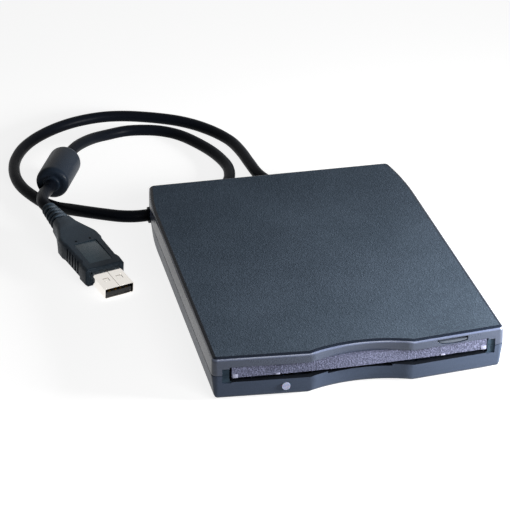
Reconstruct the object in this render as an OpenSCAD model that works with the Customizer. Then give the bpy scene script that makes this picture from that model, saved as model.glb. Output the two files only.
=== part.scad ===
// Slim external diskette drive with a fixed cable: an assembly of separate pieces.
// Millimetres. X = width (right seen from the front), Y = depth (front at -Y), Z = up.
// The origin is under the middle of the case, on the table that the rubber feet stand on.

/* [Case] */
// Width of the case across its straight sides
case_w = 104; // [100:0.5:112]
// Length of the case from the front ridges to the rear wall
case_l = 142; // [138:0.5:156]
// Height of the two closed shells without the feet
case_h = 16.4; // [15.9:0.1:20]
// Height of the parting line above the underside of the case
seam_h = 9.4; // [8.8:0.1:10.4]
// Wall of the upper shell, and of the floor
wall = 1.8; // [1.4:0.1:2.2]
// Wall of the lower shell, thicker for its draft
low_wall = 2.6; // [2.2:0.1:2.9]
// How far the front corners lie behind the two front ridges
front_bow = 3.05; // [2:0.05:4]
// Half of the distance between the two front ridges
ridge_x = 18.3; // [14:0.1:22]
// Depth of the hollow between the front ridges
scallop_d = 3.6; // [2:0.1:4]
// Length over which the sides draw in at the rear
taper_l = 29; // [20:1:36]
// Radius of the drawn-in sides
taper_r = 150; // [120:5:220]
// Upright corner radius at the front
corner_front = 2.2; // [2.1:0.1:4]
// Upright corner radius at the rear
corner_rear = 2.4; // [2.1:0.1:4]
// Width of the rounding between the top and the walls
edge_r = 1.7; // [1:0.1:2]
// Inward draft of the lower shell at its foot
draft = 0.9; // [0.4:0.1:1.2]

/* [Slot and disk] */
// Width of the diskette
disk_w = 90; // [88:0.5:91]
// Length of the diskette
disk_l = 94; // [92:0.5:95]
// Side clearance between the diskette and the slot's end
slot_gap = 0.9; // [0.6:0.1:1.2]
// Height of the lower lip above the underside of the case
lip_h = 6.8; // [6.4:0.1:7]
// Clear height of the slot
slot_h = 5.9; // [5.5:0.1:6.2]
// Half width of the finger notch in the lower lip
notch_x = 11.5; // [8:0.5:14]
// Depth of the finger notch
notch_d = 0.75; // [0.4:0.05:1]
// Width of the shallow pocket at each end of the slot
pocket_w = 2.6; // [1.5:0.1:3]
// Depth of those pockets
pocket_d = 1; // [0.6:0.1:1.2]

/* [Dust flap] */
// Thickness of the flap
flap_t = 1.2; // [0.9:0.1:1.4]
// Gap between the flap's ends and the slot's ends
flap_gap = 0.7; // [0.5:0.1:1]
// Radius of the hinge pins
pin_r = 0.6; // [0.4:0.05:0.7]
// How much lower the flap hangs in the middle than at its ends
flap_sag = 0.6; // [0.2:0.1:1]

/* [Eject mechanism] */
// Travel of the eject button between a loaded and an empty drive
eject_travel = 3.5; // [2.5:0.1:3.6]
// Drop of the disk holder when a disk is loaded
holder_drop = 2.2; // [1.6:0.1:2.3]
// Sheet metal of the holder and the slider
sheet_t = 0.6; // [0.4:0.05:0.7]
// Width of the eject button's opening
button_w = 11.4; // [9:0.1:13]
// Middle of the button's opening, right of the centre
button_x = 32.5; // [30:0.1:36]
// Radius of the holder's cam pins
cam_pin_r = 1; // [0.7:0.05:1.1]

/* [Drive unit] */
// Sheet metal of the chassis
chassis_t = 0.8; // [0.6:0.05:0.9]
// Diameter of the spindle rotor
rotor_d = 40; // [34:0.5:41]
// Diameter of the spindle hub
hub_d = 23; // [18:0.5:24]
// Travel of the heads from the outer to the inner track
head_travel = 15; // [12:0.25:15]
// Distance from the spindle to the outer track
track0_r = 39.7; // [39:0.1:40]
// Diameter of the carriage's guide rod
rod_d = 2.4; // [1.8:0.1:2.8]
// Diameter of the lead screw
screw_d = 3; // [2.4:0.1:3.2]
// Diameter of the stepper motor
stepper_d = 9; // [8:0.1:9]
// Thickness of the circuit boards
board_t = 1; // [0.8:0.1:1.2]

/* [Lamp, feet and screws] */
// Diameter of the activity lamp
lamp_d = 3; // [2.4:0.1:3.4]
// Distance of the lamp left of the centre
lamp_x = 26.6; // [22:0.1:40]
// Height of the rubber feet below the case
foot_h = 0.8; // [0.5:0.1:1.5]
// Diameter of the rubber feet
foot_d = 9; // [6:0.5:10]
// Outer diameter of the screw bosses
boss_d = 4.8; // [4.4:0.1:5]
// Shank diameter of the case screws
screw_shank = 1.9; // [1.6:0.1:2.1]

/* [Cable and plug] */
// Diameter of the cable
cord_d = 4.8; // [4:0.1:5]
// Distance of the cable's outlet in front of the rear wall
outlet_y = 11; // [10.8:0.1:13]
// Height of the cable's outlet above the underside
outlet_h = 8.5; // [8:0.1:9]
// Diameter of the ferrite core
ferrite_d = 13.6; // [11:0.1:14]
// Length of the ferrite core
ferrite_l = 25; // [20:0.5:27]
// Width of the plug's metal shell
plug_w = 12; // [11.8:0.1:12.2]
// Height of the plug's metal shell
plug_h = 4.5; // [4.4:0.1:4.6]
// Length of the metal shell in front of its cover
plug_l = 12; // [11:0.5:14]
// Height of the plug's moulded cover
cover_h = 8; // [7:0.1:8]
// Length of the plug's moulded cover
cover_l = 38; // [34:0.5:42]
// Length of the ribbed strain relief behind the cover
relief_l = 13; // [11:0.5:15]

/* [Hidden] */

$fn = 48;
e = 0.01;        // overshoot of a cut
run = 0.05;      // radial running fit of a pin or shaft
air = 0.3;       // clearance between pieces that move past each other

// --- heights of the case ---
z0 = foot_h;                       // underside of the case
zt = foot_h + case_h;              // top
zs = foot_h + seam_h;              // parting line
zfl = z0 + wall;                   // inside of the floor
zce = zt - wall;                   // inside of the top
slot_z0 = z0 + lip_h;              // lower lip
slot_z1 = slot_z0 + slot_h;        // lower edge of the upper shell's front

// --- plan of the case ---
hw = case_w / 2;
yf = -case_l / 2;                  // front ridges
yr = case_l / 2;                   // rear wall
wing_a = atan2(front_bow, hw - ridge_x);             // how far a wing turns back
wd = [cos(wing_a), sin(wing_a)];                     // along the right wing
wn = [-sin(wing_a), cos(wing_a)];                    // into the case
sc_r = (ridge_x * ridge_x + scallop_d * scallop_d) / (2 * scallop_d);
sc_y = yf + scallop_d - sc_r;
tap_y = yr - taper_l;
tap_c = [hw - taper_r, tap_y];
fc = [hw - corner_front, yf + (hw - corner_front - ridge_x) * tan(wing_a)
      + corner_front / cos(wing_a)];
rcy = yr - corner_rear;
rc = [tap_c[0] + sqrt(pow(taper_r - corner_rear, 2) - pow(rcy - tap_y, 2)), rcy];
fu = -wn;                                           // to the wing's tangent point
ru = (rc - tap_c) / norm(rc - tap_c);               // to the side arc's tangent point

// The ridge point of the outline drawn in by d: wing line meets hollow
function ridge_q(d) = [ridge_x, yf] + wn * d - [0, sc_y];
function ridge(d) = let (q = ridge_q(d), w = q * wd) [0, sc_y] + q
    + wd * (sqrt(w * w - q * q + pow(sc_r + d, 2)) - w);
function mir(p) = [-p[0], p[1]];
// Y of the front face at x on the wings, drawn in by d
function face_y(x, d = 0) = yf + (abs(x) - ridge_x) * tan(wing_a) + d / cos(wing_a);
// Half width of the case at y, drawn in by d
function side_x(y, d = 0) = y < tap_y ? hw - d
    : tap_c[0] + sqrt(pow(taper_r - d, 2) - pow(y - tap_y, 2));

// The outline drawn in by d, less than both corner radii, with true arcs
module case_plan(d = 0) {
    pr = ridge(d);
    pf = fc + fu * (corner_front - d);
    ps = [hw - d, fc[1]];
    pt = [hw - d, tap_y];
    pq = rc + ru * (corner_rear - d);
    pb = [rc[0], yr - d];
    difference() {
        union() {
            polygon([pr, pf, ps, pt, pq, pb, mir(pb), mir(pq), mir(pt), mir(ps),
                mir(pf), mir(pr)]);
            for (s = [0, 1]) mirror([s, 0]) {
                segment(fc, corner_front - d, pf, ps);
                segment(tap_c, taper_r - d, pt, pq);
                segment(rc, corner_rear - d, pq, pb);
            }
        }
        translate([0, sc_y]) circle(r = sc_r + d, $fn = 200);
    }
}

// The slice of a circle between the chord p1-p2 and its arc
module segment(c, r, p1, p2) {
    m = (p1 + p2) / 2 - c;
    n = m / norm(m) * (r - norm(m) + 1);
    intersection() {
        translate(c) circle(r = r, $fn = 200);
        polygon([p1, p2, p2 + n, p1 + n]);
    }
}

// The inside of the walls, with plain corners, drawn in by d
module cavity_plan(d) {
    pr = ridge(d);
    pf = [hw - d, face_y(hw - d, d)];
    pb = [side_x(yr - d, d), yr - d];
    difference() {
        polygon([pr, pf, [hw - d, tap_y], pb, mir(pb), [-hw + d, tap_y], mir(pf), mir(pr)]);
        translate([0, sc_y]) circle(r = sc_r + d, $fn = 200);
    }
}

past = 0.5;      // how far straight cuts run on past a corner's tangent point
// Sweeps a wall profile (inward distance, height) along one run of the outline:
// 0 side, 1 drawn-in side, 2 rear corner, 3 front corner, 4 wing, 5 rear wall, 6 hollow
module edge_run(k, pts, s = 0) {
    pr = ridge(0);
    fa = atan2(fu[1], fu[0]);
    ra = atan2(ru[1], ru[0]);
    ha = atan2(pr[1] - sc_y, pr[0]);
    mirror([s, 0, 0]) {
        if (k == 0) translate([0, fc[1] - past, 0]) rotate([90, 0, 0]) mirror([0, 0, 1])
            linear_extrude(height = tap_y - fc[1] + 2 * past)
                polygon([for (p = pts) [hw - p[0], p[1]]]);
        if (k == 1) turn(tap_c, taper_r, 0, ra + past * 0.3, pts);
        if (k == 2) turn(rc, corner_rear, ra, 90, pts);
        if (k == 3) turn(fc, corner_front, fa, 0, pts);
        if (k == 4) translate([ridge_x, yf, 0]) rotate([0, 0, wing_a]) translate([-5, 0, 0])
            rotate([90, 0, 90]) linear_extrude(height = 5 + past + norm(fc + fu * corner_front
                - [ridge_x, yf])) polygon([for (p = pts) [p[0], p[1]]]);
        if (k == 5) translate([-rc[0] - past, 0, 0]) rotate([90, 0, 90])
            linear_extrude(height = 2 * rc[0] + 2 * past) polygon([for (p = pts) [yr - p[0], p[1]]]);
        if (k == 6) translate([0, sc_y, 0]) rotate([0, 0, ha - 4])
            rotate_extrude(angle = 188 - 2 * ha, $fn = 200)
                polygon([for (p = pts) [sc_r + p[0], p[1]]]);
    }
}
module turn(c, r, a0, a1, pts)
    translate([c[0], c[1], 0]) rotate([0, 0, a0])
        rotate_extrude(angle = a1 - a0, $fn = 200)
            polygon([for (p = pts) [max(r - p[0], 0), p[1]]]);

// Wall profiles as (inward distance, height), run past the solid at both ends
top_edge = [[-2, zs - 1], [0.03, zs - 1], [0.13 * edge_r, zt - 0.62 * edge_r],
    [0.38 * edge_r, zt - 0.29 * edge_r], [0.69 * edge_r, zt - 0.08 * edge_r],
    [1.1 * edge_r, zt + 0.026 * edge_r], [1.1 * edge_r, zt + 1], [-2, zt + 1]];
fade = (draft - 0.05) / (seam_h - 1.4);     // slope of the lower shell's draft
low_edge = [[-2, zs + 1], [0.05 - fade, zs + 1], [draft, z0 + 1.4], [draft + 0.4, z0 + 0.55],
    [draft + 1, z0 + 0.1], [draft + 1.6, z0 - 0.15], [draft + 1.6, z0 - 1], [-2, z0 - 1]];

// --- front details ---
slot_hx = disk_w / 2 + slot_gap;            // slot's half width
flap_hx = slot_hx - flap_gap;               // flap's half width
pocket_x = slot_hx + pocket_w;
outlet = [-side_x(yr - outlet_y), yr - outlet_y, z0 + outlet_h];
lamp_z = z0 + 3.8;
boss_f = [hw - 4, yf + 9.5];                // front screw bosses
boss_r = [hw - 6.5, yr - 5.4];              // rear screw bosses
foot_at = [hw - 12, case_l / 2 - 16];
saddle_x = -hw + 4.75;                      // saddle and clamp of the cable
saddle_w = 6;

// --- heights and widths inside ---
chas_z = zfl + 0.4;                         // underside of the chassis, on its pads
deck = chas_z + chassis_t;                  // top of the chassis floor
bay_z0 = slot_z0 + 0.2;                     // shelf that the diskette slides on
bay_z1 = bay_z0 + 4.6;                      // underside of the holder's top
hold_hx = disk_w / 2 + 0.3;                 // holder's inner half width
slide_z = bay_z1 + sheet_t + 0.9;           // underside of the slider's top plate
slide_hx = hold_hx + sheet_t + 0.5;         // slider wings' inner half width
chas_hx = slide_hx + sheet_t + 0.8;         // chassis walls' inner half width
disk_y0 = yf + 2;                           // front edge of a loaded diskette
hub_y = disk_y0 + disk_l / 2;               // spindle
head_y = hub_y + track0_r;                  // heads at the outer track
hold_y0 = yf + 12.6;                        // holder's front edge
hold_y1 = disk_y0 + disk_l - 1;             // holder's rear edge
pin_ys = [yf + 25, yf + 69];                // cam pins
pin_z = bay_z0 + 2.4;
moon_top = zt - 1.35;                       // straight edge of the button's opening
moon_h = moon_top - slot_z1 - 0.22;         // its depth
button_z1 = moon_top - 0.42 * moon_h;
back_y = disk_y0 + disk_l + 0.6;            // first bracket behind the diskette
rod_x = -10;
screw_x = 10;
rod_z = deck + 3.2;
screw_z = zfl + 0.3 + stepper_d / 2;
tab_y = back_y + 30.6;                      // rear bracket of rod and screw
tie_x = 40;                                 // chassis screws and pads
tie_ys = [yf + 22, tab_y - 11];
car_y = back_y + 0.8 + head_travel + 0.4;   // front of the carriage's body
car_z = rod_z + 2.2;                        // its top
arm_y = car_y + 8.2;
arm_z = car_z + 1.4;
board_z = deck + 1.2;

// --- dust flap ---
axis_y = yf + 5.2;                          // its hinge axis
axis_z = zt - 2.9;
flap_y = yf + 1.9;                          // its outer face in the middle
flap_r = (flap_hx * flap_hx + 0.36) / 1.2;  // bowed back 0.6 mm at the ends
flap_z0 = slot_z0 + 1.25;                   // lowest point of its edge
flap_z1 = slot_z1 - 0.2;
sag_r = (flap_hx * flap_hx + flap_sag * flap_sag) / (2 * flap_sag);

module boss_pair(r, zlo, zhi) {
    for (s = [-1, 1]) {
        translate([s * boss_f[0], boss_f[1], zlo]) cylinder(r = r, h = zhi - zlo);
        translate([s * boss_r[0], boss_r[1], zlo]) cylinder(r = r, h = zhi - zlo);
    }
}

module slot_cut() {
    // the slot itself, then the shallow pockets at its ends
    translate([-slot_hx, yf - 5, slot_z0]) cube([2 * slot_hx, 13, slot_h]);
    for (s = [-1, 1]) translate([s * (pocket_x - 1.6), face_y(pocket_x - 1.6), slot_z0 - 0.4])
        rotate([0, 0, s * wing_a]) translate([-1.6, -5, 0])
            cube([3.2, 5 + pocket_d, slot_h - 0.2]);
}

// Bore of the grommet's neck, then the recess of its flange inside the wall
module outlet_cut() translate(outlet) rotate([0, 90, 0]) {
    translate([0, 0, -3]) cylinder(d = cord_d + 1.6 + 2 * run, h = 7);
    translate([0, 0, 2.8 - run]) cylinder(d = cord_d + 3.2 + 2 * run, h = 0.6 + 3 * run);
}

// The half-moon of the eject button's opening, drawn in by g, its straight edge on X
moon_x = button_w * 0.16;                   // where it is deepest
function moon_z(x) = x < moon_x
    ? -moon_h * sqrt(1 - pow((moon_x - x) / (moon_x + button_w / 2), 3.5))
    : 0.5 * pow((x - moon_x) / (button_w / 2 - moon_x), 2) - moon_h;
module moon(g = 0) intersection() {
    translate([0, g]) polygon([[button_w / 2, 0], for (i = [0 : 12])
        let (x = button_w * (0.5 - pow(i / 12, 0.6))) [x, moon_z(x)]]);
    translate([-button_w / 2 + g, -moon_h - 1]) square([button_w - 2 * g, moon_h + 2]);
}
// A half-moon bar along Y from y0 to y1, behind the right wing
module moon_bar(g, y0, y1) translate([button_x, y1, moon_top]) rotate([90, 0, 0])
    linear_extrude(height = y1 - y0) moon(g);

// A closed block of the outline from zlo to zhi, its walls cut to a profile
module shell_block(zlo, zhi, pts) difference() {
    difference() {
        translate([0, 0, zlo]) linear_extrude(height = zhi - zlo) case_plan(0);
        edge_run(0, pts);
        edge_run(0, pts, 1);
        edge_run(1, pts);
        edge_run(1, pts, 1);
        edge_run(4, pts);
        edge_run(4, pts, 1);
        edge_run(5, pts);
    }
    edge_run(3, pts);
    edge_run(3, pts, 1);
    edge_run(2, pts);
    edge_run(2, pts, 1);
    edge_run(6, pts);
}

module upper_shell() {
    color("#4a5663") union() {
        difference() {
            shell_block(zs, zt, top_edge);
            difference() {
                translate([0, 0, zs - e]) linear_extrude(height = zce - zs + e)
                    cavity_plan(wall);
                // bosses, hinge cheeks and ribs stand in the hollow
                boss_pair(boss_d / 2, zs - 1, zce + 1);
                for (s = [-1, 1]) translate([s * (slot_hx + 1.3) - 1.3, yf + 2, slot_z1])
                    cube([2.6, 5.4, zce]);
                for (x = [-30, -10, 10]) translate([x - 0.5, hold_y1 + 8, zce - 1])
                    cube([1, 24, 2]);
            }
            slot_cut();
            outlet_cut();
            // button opening, sunk into the top above the button
            moon_bar(0, yf - 3, face_y(button_x) + 4.5);
            // hinge bores and screw holes
            translate([-slot_hx - 1.9, axis_y, axis_z]) rotate([0, 90, 0])
                cylinder(r = pin_r + run, h = 2 * slot_hx + 3.8);
            boss_pair(0.8, zs - 1, zce);
            // parting line groove
            difference() {
                translate([0, 0, zs - e]) linear_extrude(height = 0.3) square([300, 300], true);
                translate([0, 0, zs - 1]) linear_extrude(height = 2) case_plan(0.4);
            }
        }
    }
}

module lower_shell() {
    color("#39414d") difference() {
        shell_block(z0, zs, low_edge);
        difference() {
            translate([0, 0, zfl]) linear_extrude(height = zs - zfl + e) cavity_plan(low_wall);
            boss_pair(boss_d / 2, zfl - 1, zs + 1);
            // pads under the chassis
            for (x = [-tie_x, tie_x], y = [tie_ys[0], -7, tie_ys[1]])
                translate([x - 3, y - 3, zfl - 1]) cube([6, 6, 1 + chas_z - zfl]);
            // saddle that carries the cable
            translate([saddle_x, outlet[1] - saddle_w / 2, zfl - 1])
                cube([1.6, saddle_w, outlet[2] - zfl + 1]);
            // posts of the lamp's board
            for (x = [-lamp_x - 3.2, -lamp_x + 2]) translate([x, yf + 6, zfl - 1])
                cube([1.2, 5, 1.6]);
        }
        for (s = [-1, 1], y = tie_ys) translate([s * tie_x, y, chas_z - 0.7])
            cylinder(d = 2 + 2 * run, h = 2);
        slot_cut();
        outlet_cut();
        translate([-notch_x, yf - 1, slot_z0 - notch_d]) cube([2 * notch_x, 8, 4]);
        translate([-lamp_x, yf - 1, lamp_z]) rotate([-90, 0, 0])
            cylinder(d = lamp_d + 0.1, h = 8);
        translate([saddle_x - 0.6, outlet[1], outlet[2]]) rotate([0, 90, 0])
            cylinder(d = cord_d, h = 3);
        for (x = [-1, 1], y = [-1, 1]) translate([x * foot_at[0], y * foot_at[1], z0 - 1])
            cylinder(d = foot_d + 0.2, h = 1.8);
        boss_pair(screw_shank / 2 + 0.15, z0 - 1, zs + 1);
        boss_pair(1.75, z0 - 1, zfl - 0.4);
    }
}

module rubber_feet() color("#1d1f22")
    for (x = [-1, 1], y = [-1, 1]) translate([x * foot_at[0], y * foot_at[1], 0])
        rotate_extrude() polygon([[0, 0], [foot_d / 2 - 0.5, 0], [foot_d / 2, 0.5],
            [foot_d / 2, z0 + 0.8], [0, z0 + 0.8]]);

module case_screws() color("silver")
    for (s = [-1, 1], p = [boss_f, boss_r]) translate([s * p[0], p[1], z0 + 0.2]) {
        difference() {
            cylinder(d = 3.3, h = zfl - 0.4 - z0 - 0.2);
            for (a = [0, 90]) rotate([0, 0, a]) translate([-1, -0.2, -e]) cube([2, 0.4, 0.6]);
        }
        cylinder(d = screw_shank, h = zs - z0 - 0.2);
        cylinder(d = 1.6, h = zce - 1.2 - z0);
    }

// The flap's bowed plan and the sag of its lower edge, as chains of flat facets
function bow(x) = 0.6 * x * x / (flap_hx * flap_hx);
function sag(x) = flap_sag * x * x / (flap_hx * flap_hx);
flap_xs = [for (i = [-6 : 6]) i / 6 * flap_hx];

module slot_flap() color("#63667c") {
    difference() {
        intersection() {
            translate([0, 0, flap_z0 - 1]) linear_extrude(height = flap_z1 - flap_z0 + 1)
                polygon([for (x = flap_xs) [x, flap_y + bow(x)],
                    for (i = [12 : -1 : 0]) [flap_xs[i], flap_y + flap_t + bow(flap_xs[i])]]);
            translate([0, axis_y, 0]) rotate([90, 0, 0]) linear_extrude(height = 8)
                polygon([for (x = flap_xs) [x * 1.001, flap_z0 + sag(x)],
                    [flap_hx + 1, flap_z1 + 1], [-flap_hx - 1, flap_z1 + 1]]);
        }
        // small windows in the lower edge
        for (s = [-1, 1]) translate([s * 29 - 1, yf, flap_z0 - 0.5]) cube([2, 10, 1.1]);
    }
    // ledge along the top that closes the hollow
    translate([-ridge_x - 3, flap_y + flap_t - 0.3, flap_z1 - 0.7])
        cube([2 * ridge_x + 6, axis_y + 0.1 - flap_y - flap_t + 0.3, 0.7]);
    for (s = [0, 1]) mirror([s, 0, 0]) {
        // arm that reaches back and up to the pin
        translate([flap_hx - 3.6, 0, 0]) {
            translate([0, flap_y + 1.2, flap_z1 - 1.4])
                cube([3.6, axis_y - flap_y - 0.7, 1.4]);
            translate([0, axis_y - 0.5, flap_z1 - 1.4])
                cube([3.6, 1, axis_z - flap_z1 + 1.4]);
            translate([0, axis_y, axis_z]) rotate([0, 90, 0]) cylinder(r = 0.9, h = 3.6);
        }
        translate([flap_hx - 7, axis_y, axis_z]) rotate([0, 90, 0])
            cylinder(r = pin_r, h = slot_hx + 1.6 - flap_hx + 7);
    }
}

// A round wire coiled n times about Z with straight ends along Z, from formulas
function coil(r, n, h, i, k) = let (a = 360 * n * i / k)
    [r * cos(a), r * sin(a), h * i / k];
// Sweeps a round section of radius r along the points pts, as one closed body
function unit(v) = v / norm(v);
module tube(pts, r, sides = 6, up = [0, 0, 1]) {
    n = len(pts);
    rings = [for (i = [0 : n - 1]) let (t = unit(pts[min(i + 1, n - 1)] - pts[max(i - 1, 0)]),
        u = unit(cross(up, t)), v = cross(t, u))
        for (j = [0 : sides - 1]) pts[i] + r * (cos(360 * j / sides) * u
            + sin(360 * j / sides) * v)];
    polyhedron(points = rings, faces = concat(
        [[for (j = [0 : sides - 1]) j]],
        [for (i = [0 : n - 2], j = [0 : sides - 1]) let (a = i * sides + j,
            b = i * sides + (j + 1) % sides) [a, a + sides, b + sides, b]],
        [[for (j = [sides - 1 : -1 : 0]) (n - 1) * sides + j]]));
}

// Least gap of a coil to itself, on its points half a turn and more apart
function coil_gap(r, n, h, wire) = let (p = [for (i = [0 : 8 * n]) coil(r, n, h, i, 8 * n)])
    min([for (i = [0 : 8 * n], j = [i + 6 : 1 : 8 * n]) norm(p[i] - p[j])]) - wire;

module flap_spring() color("silver") {
    // torsion coil round the left pin, one leg on the shell, one on the flap
    n = 3;
    k = 8 * n;
    r = 0.95;
    x0 = -flap_hx + 4.2;
    translate([x0, axis_y, axis_z]) rotate([0, 90, 0]) rotate([0, 0, 90])
        tube(concat([[r, -1.4, 0], [r, -0.8, 0]],
            [for (i = [0 : k]) coil(r, n, 0.78 * n, i, k)],
            [[r, 0.5, 0.78 * n], [r, 0.95, 0.78 * n]]), 0.13, 6, [1, 0.02, 0]);
}

echo(flap_spring_gap = coil_gap(0.95, 3, 0.78 * 3, 0.26));
echo(eject_spring_gap = coil_gap(0.95, 14, 13, 0.4));

module eject_button() color("#2c3138") {
    // cap that fills the lower part of the opening, its front parallel to the wing
    difference() {
        intersection() {
            moon_bar(air, yf, yf + 6.2);
            translate([button_x - button_w / 2, 0, slot_z1]) linear_extrude(height = button_z1
                - slot_z1) {
                f = face_y(button_x - button_w / 2) + 0.35;
                polygon([[0, f], [button_w, f + button_w * tan(wing_a)],
                    [button_w, yf + 7], [0, yf + 7]]);
            }
        }
        translate([button_x - 2.6 - run, yf + 4.2, slide_z - 1])
            cube([5.2 + 2 * run, 3, sheet_t + 1]);
    }
}

module slider_plan() {
    translate([-slide_hx - sheet_t, yf + 17]) square([2 * (slide_hx + sheet_t), 60]);
    translate([button_x - 2.6, yf + 4.2]) square([5.2, 20]);
    translate([36, yf + 70]) square([4, 10]);
}

module eject_slider() color("#a9adb3") {
    difference() {
        union() {
            translate([0, 0, slide_z]) linear_extrude(height = sheet_t) slider_plan();
            for (s = [-1, 1]) translate([s * (slide_hx + sheet_t / 2) - sheet_t / 2, yf + 17, 5.6])
                cube([sheet_t, 60, slide_z - 5.6 + sheet_t]);
        }
        // openings that leave the top a frame
        translate([-38, yf + 24, slide_z - 1]) cube([30, 46, 3]);
        translate([8, yf + 24, slide_z - 1]) cube([30, 46, 3]);
        translate([-8.5, hub_y + 15, slide_z - 1]) cube([17, 40, 3]);
        // cam slots: raised dwell, ramp and lowered dwell
        for (y = pin_ys) translate([-slide_hx - 1, y, pin_z]) rotate([90, 0, 90])
            linear_extrude(height = 2 * slide_hx + 2) cam_plan();
        translate([38, yf + 79, slide_z - 1]) cylinder(d = 1, h = 3);
    }
}

// Cam slot as (y, z) from the pin at rest: the pin runs to the other end when loaded
module cam_plan() {
    r = cam_pin_r + 0.25;
    c = [[0, 0], [eject_travel, -holder_drop]];
    u = unit(c[1] - c[0]);
    v = [-u[1], u[0]];
    for (p = c) translate(p) circle(r = r);
    w = 0.97 * r;
    polygon([c[0] + w * v, c[1] + w * v, c[1] - w * v, c[0] - w * v]);
}

module eject_spring() color("silver") {
    n = 14;
    k = 8 * n;
    l = 13;
    translate([38, yf + 82, slide_z + 0.2]) rotate([-90, 0, 0])
        tube(concat([[0.95, 0, -2], [0.95, 0, -1]],
            [for (i = [0 : k]) coil(0.95, n, l, i, k)],
            [[0.95, 0, l + 1.5], [0.95, 0, back_y + 2 - yf - 82]]), 0.2, 6, [0.02, 1, 0]);
}

module disk_holder() color("#b9bdc2") difference() {
    translate([-hold_hx - sheet_t, hold_y0, bay_z1])
        cube([2 * (hold_hx + sheet_t), hold_y1 - hold_y0, sheet_t]);
    // window for the upper head's arm, corners for the trigger lever and the spring
    translate([-8, head_y - 22, bay_z1 - 1]) cube([16, 40, 3]);
    translate([-34, hold_y1 - 13, bay_z1 - 1]) cube([27, 14, 3]);
    translate([34, hold_y1 - 16, bay_z1 - 1]) cube([14, 18, 3]);
    translate([0, hub_y, bay_z1 - 1]) cylinder(d = 20, h = 3);
    // beads pressed into the top are left as slots
    for (s = [-1, 1]) translate([s * 24 - 1, hold_y0 + 8, bay_z1 - 1]) cube([2, 40, 3]);
}

// Side channels under the holder's top, with the cam pins
module holder_rails() color("#a9adb2") for (s = [0, 1]) mirror([s, 0, 0]) {
    translate([hold_hx, hold_y0, bay_z0 - sheet_t])
        cube([sheet_t, hold_y1 - hold_y0, bay_z1 - bay_z0 + sheet_t]);
    translate([41, hold_y0, bay_z0 - sheet_t])
        cube([hold_hx + 0.1 - 41, hold_y1 - hold_y0, sheet_t]);
    for (y = pin_ys) translate([hold_hx + sheet_t - 0.3, y, pin_z]) rotate([0, 90, 0])
        cylinder(r = cam_pin_r, h = chas_hx + chassis_t - hold_hx - 0.1);
}

module drive_chassis() color("#9aa0a6") {
    y0 = yf + 19;
    difference() {
        translate([-chas_hx - chassis_t, y0, chas_z])
            cube([2 * (chas_hx + chassis_t), tab_y + 0.8 - y0, chassis_t]);
        translate([0, hub_y, chas_z - 1]) cylinder(d = 7, h = 3);
        // lightening windows and the corner by the cable
        for (s = [-1, 1]) translate([s * 33 - 6, yf + 40, chas_z - 1]) cube([12, 20, 3]);
        translate([-60, outlet[1] - 10, chas_z - 1]) cube([17, 20, 3]);
        translate([side_x(tab_y, low_wall) - 1, tab_y - 9, chas_z - 1]) cube([10, 20, 3]);
        for (s = [-1, 1], y = tie_ys) translate([s * tie_x, y, chas_z - 1])
            cylinder(d = 2.2, h = 3);
    }
    // brackets for the rod, the screw and the motor
    difference() {
        translate([-14, tab_y, deck - 0.2]) cube([32, 0.8, screw_z + 5 - deck]);
        translate([rod_x, tab_y - 1, rod_z]) rotate([-90, 0, 0])
            cylinder(d = rod_d + 2 * run, h = 3);
        translate([screw_x, tab_y - 1, screw_z]) rotate([-90, 0, 0])
            cylinder(d = screw_d + 0.6, h = 3);
    }
    for (x = [rod_x, screw_x]) difference() {
        translate([x - 3, back_y, deck - 0.2]) cube([6, 0.8, lever_z - 0.4 - deck + 0.2]);
        translate([x, back_y - 1, x == rod_x ? rod_z : screw_z]) rotate([-90, 0, 0])
            cylinder(d = (x == rod_x ? rod_d : 1.5) + 2 * run, h = 3);
    }
    // datum posts of the diskette, board standoffs, lever post and spring hook
    for (s = [-1, 1], y = [disk_y0 + 25, disk_y0 + 80]) translate([s * 38, y, deck - 0.2])
        cylinder(d = 3, h = bay_z0 - holder_drop - deck + 0.1);
    for (p = board_posts) translate([p[0], p[1], deck - 0.2]) cylinder(d = 3.4,
        h = board_z - deck + 0.2);
    translate([lever_at[0], lever_at[1], deck - 0.2]) {
        cylinder(d = 4, h = lever_z - deck + 0.2);
        cylinder(d = 2.4, h = lever_z - deck + 1.6);
    }
    translate([36.6, back_y + 2, deck - 0.2]) cube([3, 0.8, slide_z + 1.3 - deck]);
}

// Upright walls on the chassis, with the slots that keep the cam pins
module chassis_rails() color("#9097a0") difference() {
    for (s = [-1, 1]) translate([s * (chas_hx + chassis_t / 2) - chassis_t / 2, yf + 21,
        deck]) cube([chassis_t, 60, bay_z1 - 0.2 - deck]);
    for (y = pin_ys) translate([-60, y - cam_pin_r - 0.25, pin_z - holder_drop - 1.3])
        cube([120, 2 * cam_pin_r + 0.5, holder_drop + 2.6]);
}
lever_at = [-34, hold_y1 + 9];
lever_z = bay_z0 + 1.8;
board_posts = [[-44, 40], [-25, 54.5], [44, 34], [24, 54.5], [-24, 40], [24, 34]];

module chassis_screws() color("silver")
    for (s = [-1, 1], y = tie_ys) translate([s * tie_x, y, chas_z - 0.5]) {
        cylinder(d = 2, h = 1.5);
        translate([0, 0, chassis_t + 0.5]) difference() {
            cylinder(d = 3.8, h = 0.9);
            for (a = [0, 90]) rotate([0, 0, a]) translate([-1, -0.2, 0.4]) cube([2, 0.4, 1]);
        }
    }

module spindle_board() color("#2f5d3a") translate([0, hub_y, deck]) difference() {
    union() {
        cylinder(d = 46, h = 0.4, $fn = 96);
        translate([10, -4, 0]) cube([18, 8, 0.4]);
    }
    translate([0, 0, -1]) cylinder(d = 7 + 2 * run, h = 3);
}

module spindle_bearing() color("#b08d4a") translate([0, hub_y, chas_z]) difference() {
    cylinder(d = 7, h = 1.8);
    translate([0, 0, -1]) cylinder(d = 3 + 2 * run, h = 4);
}

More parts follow.
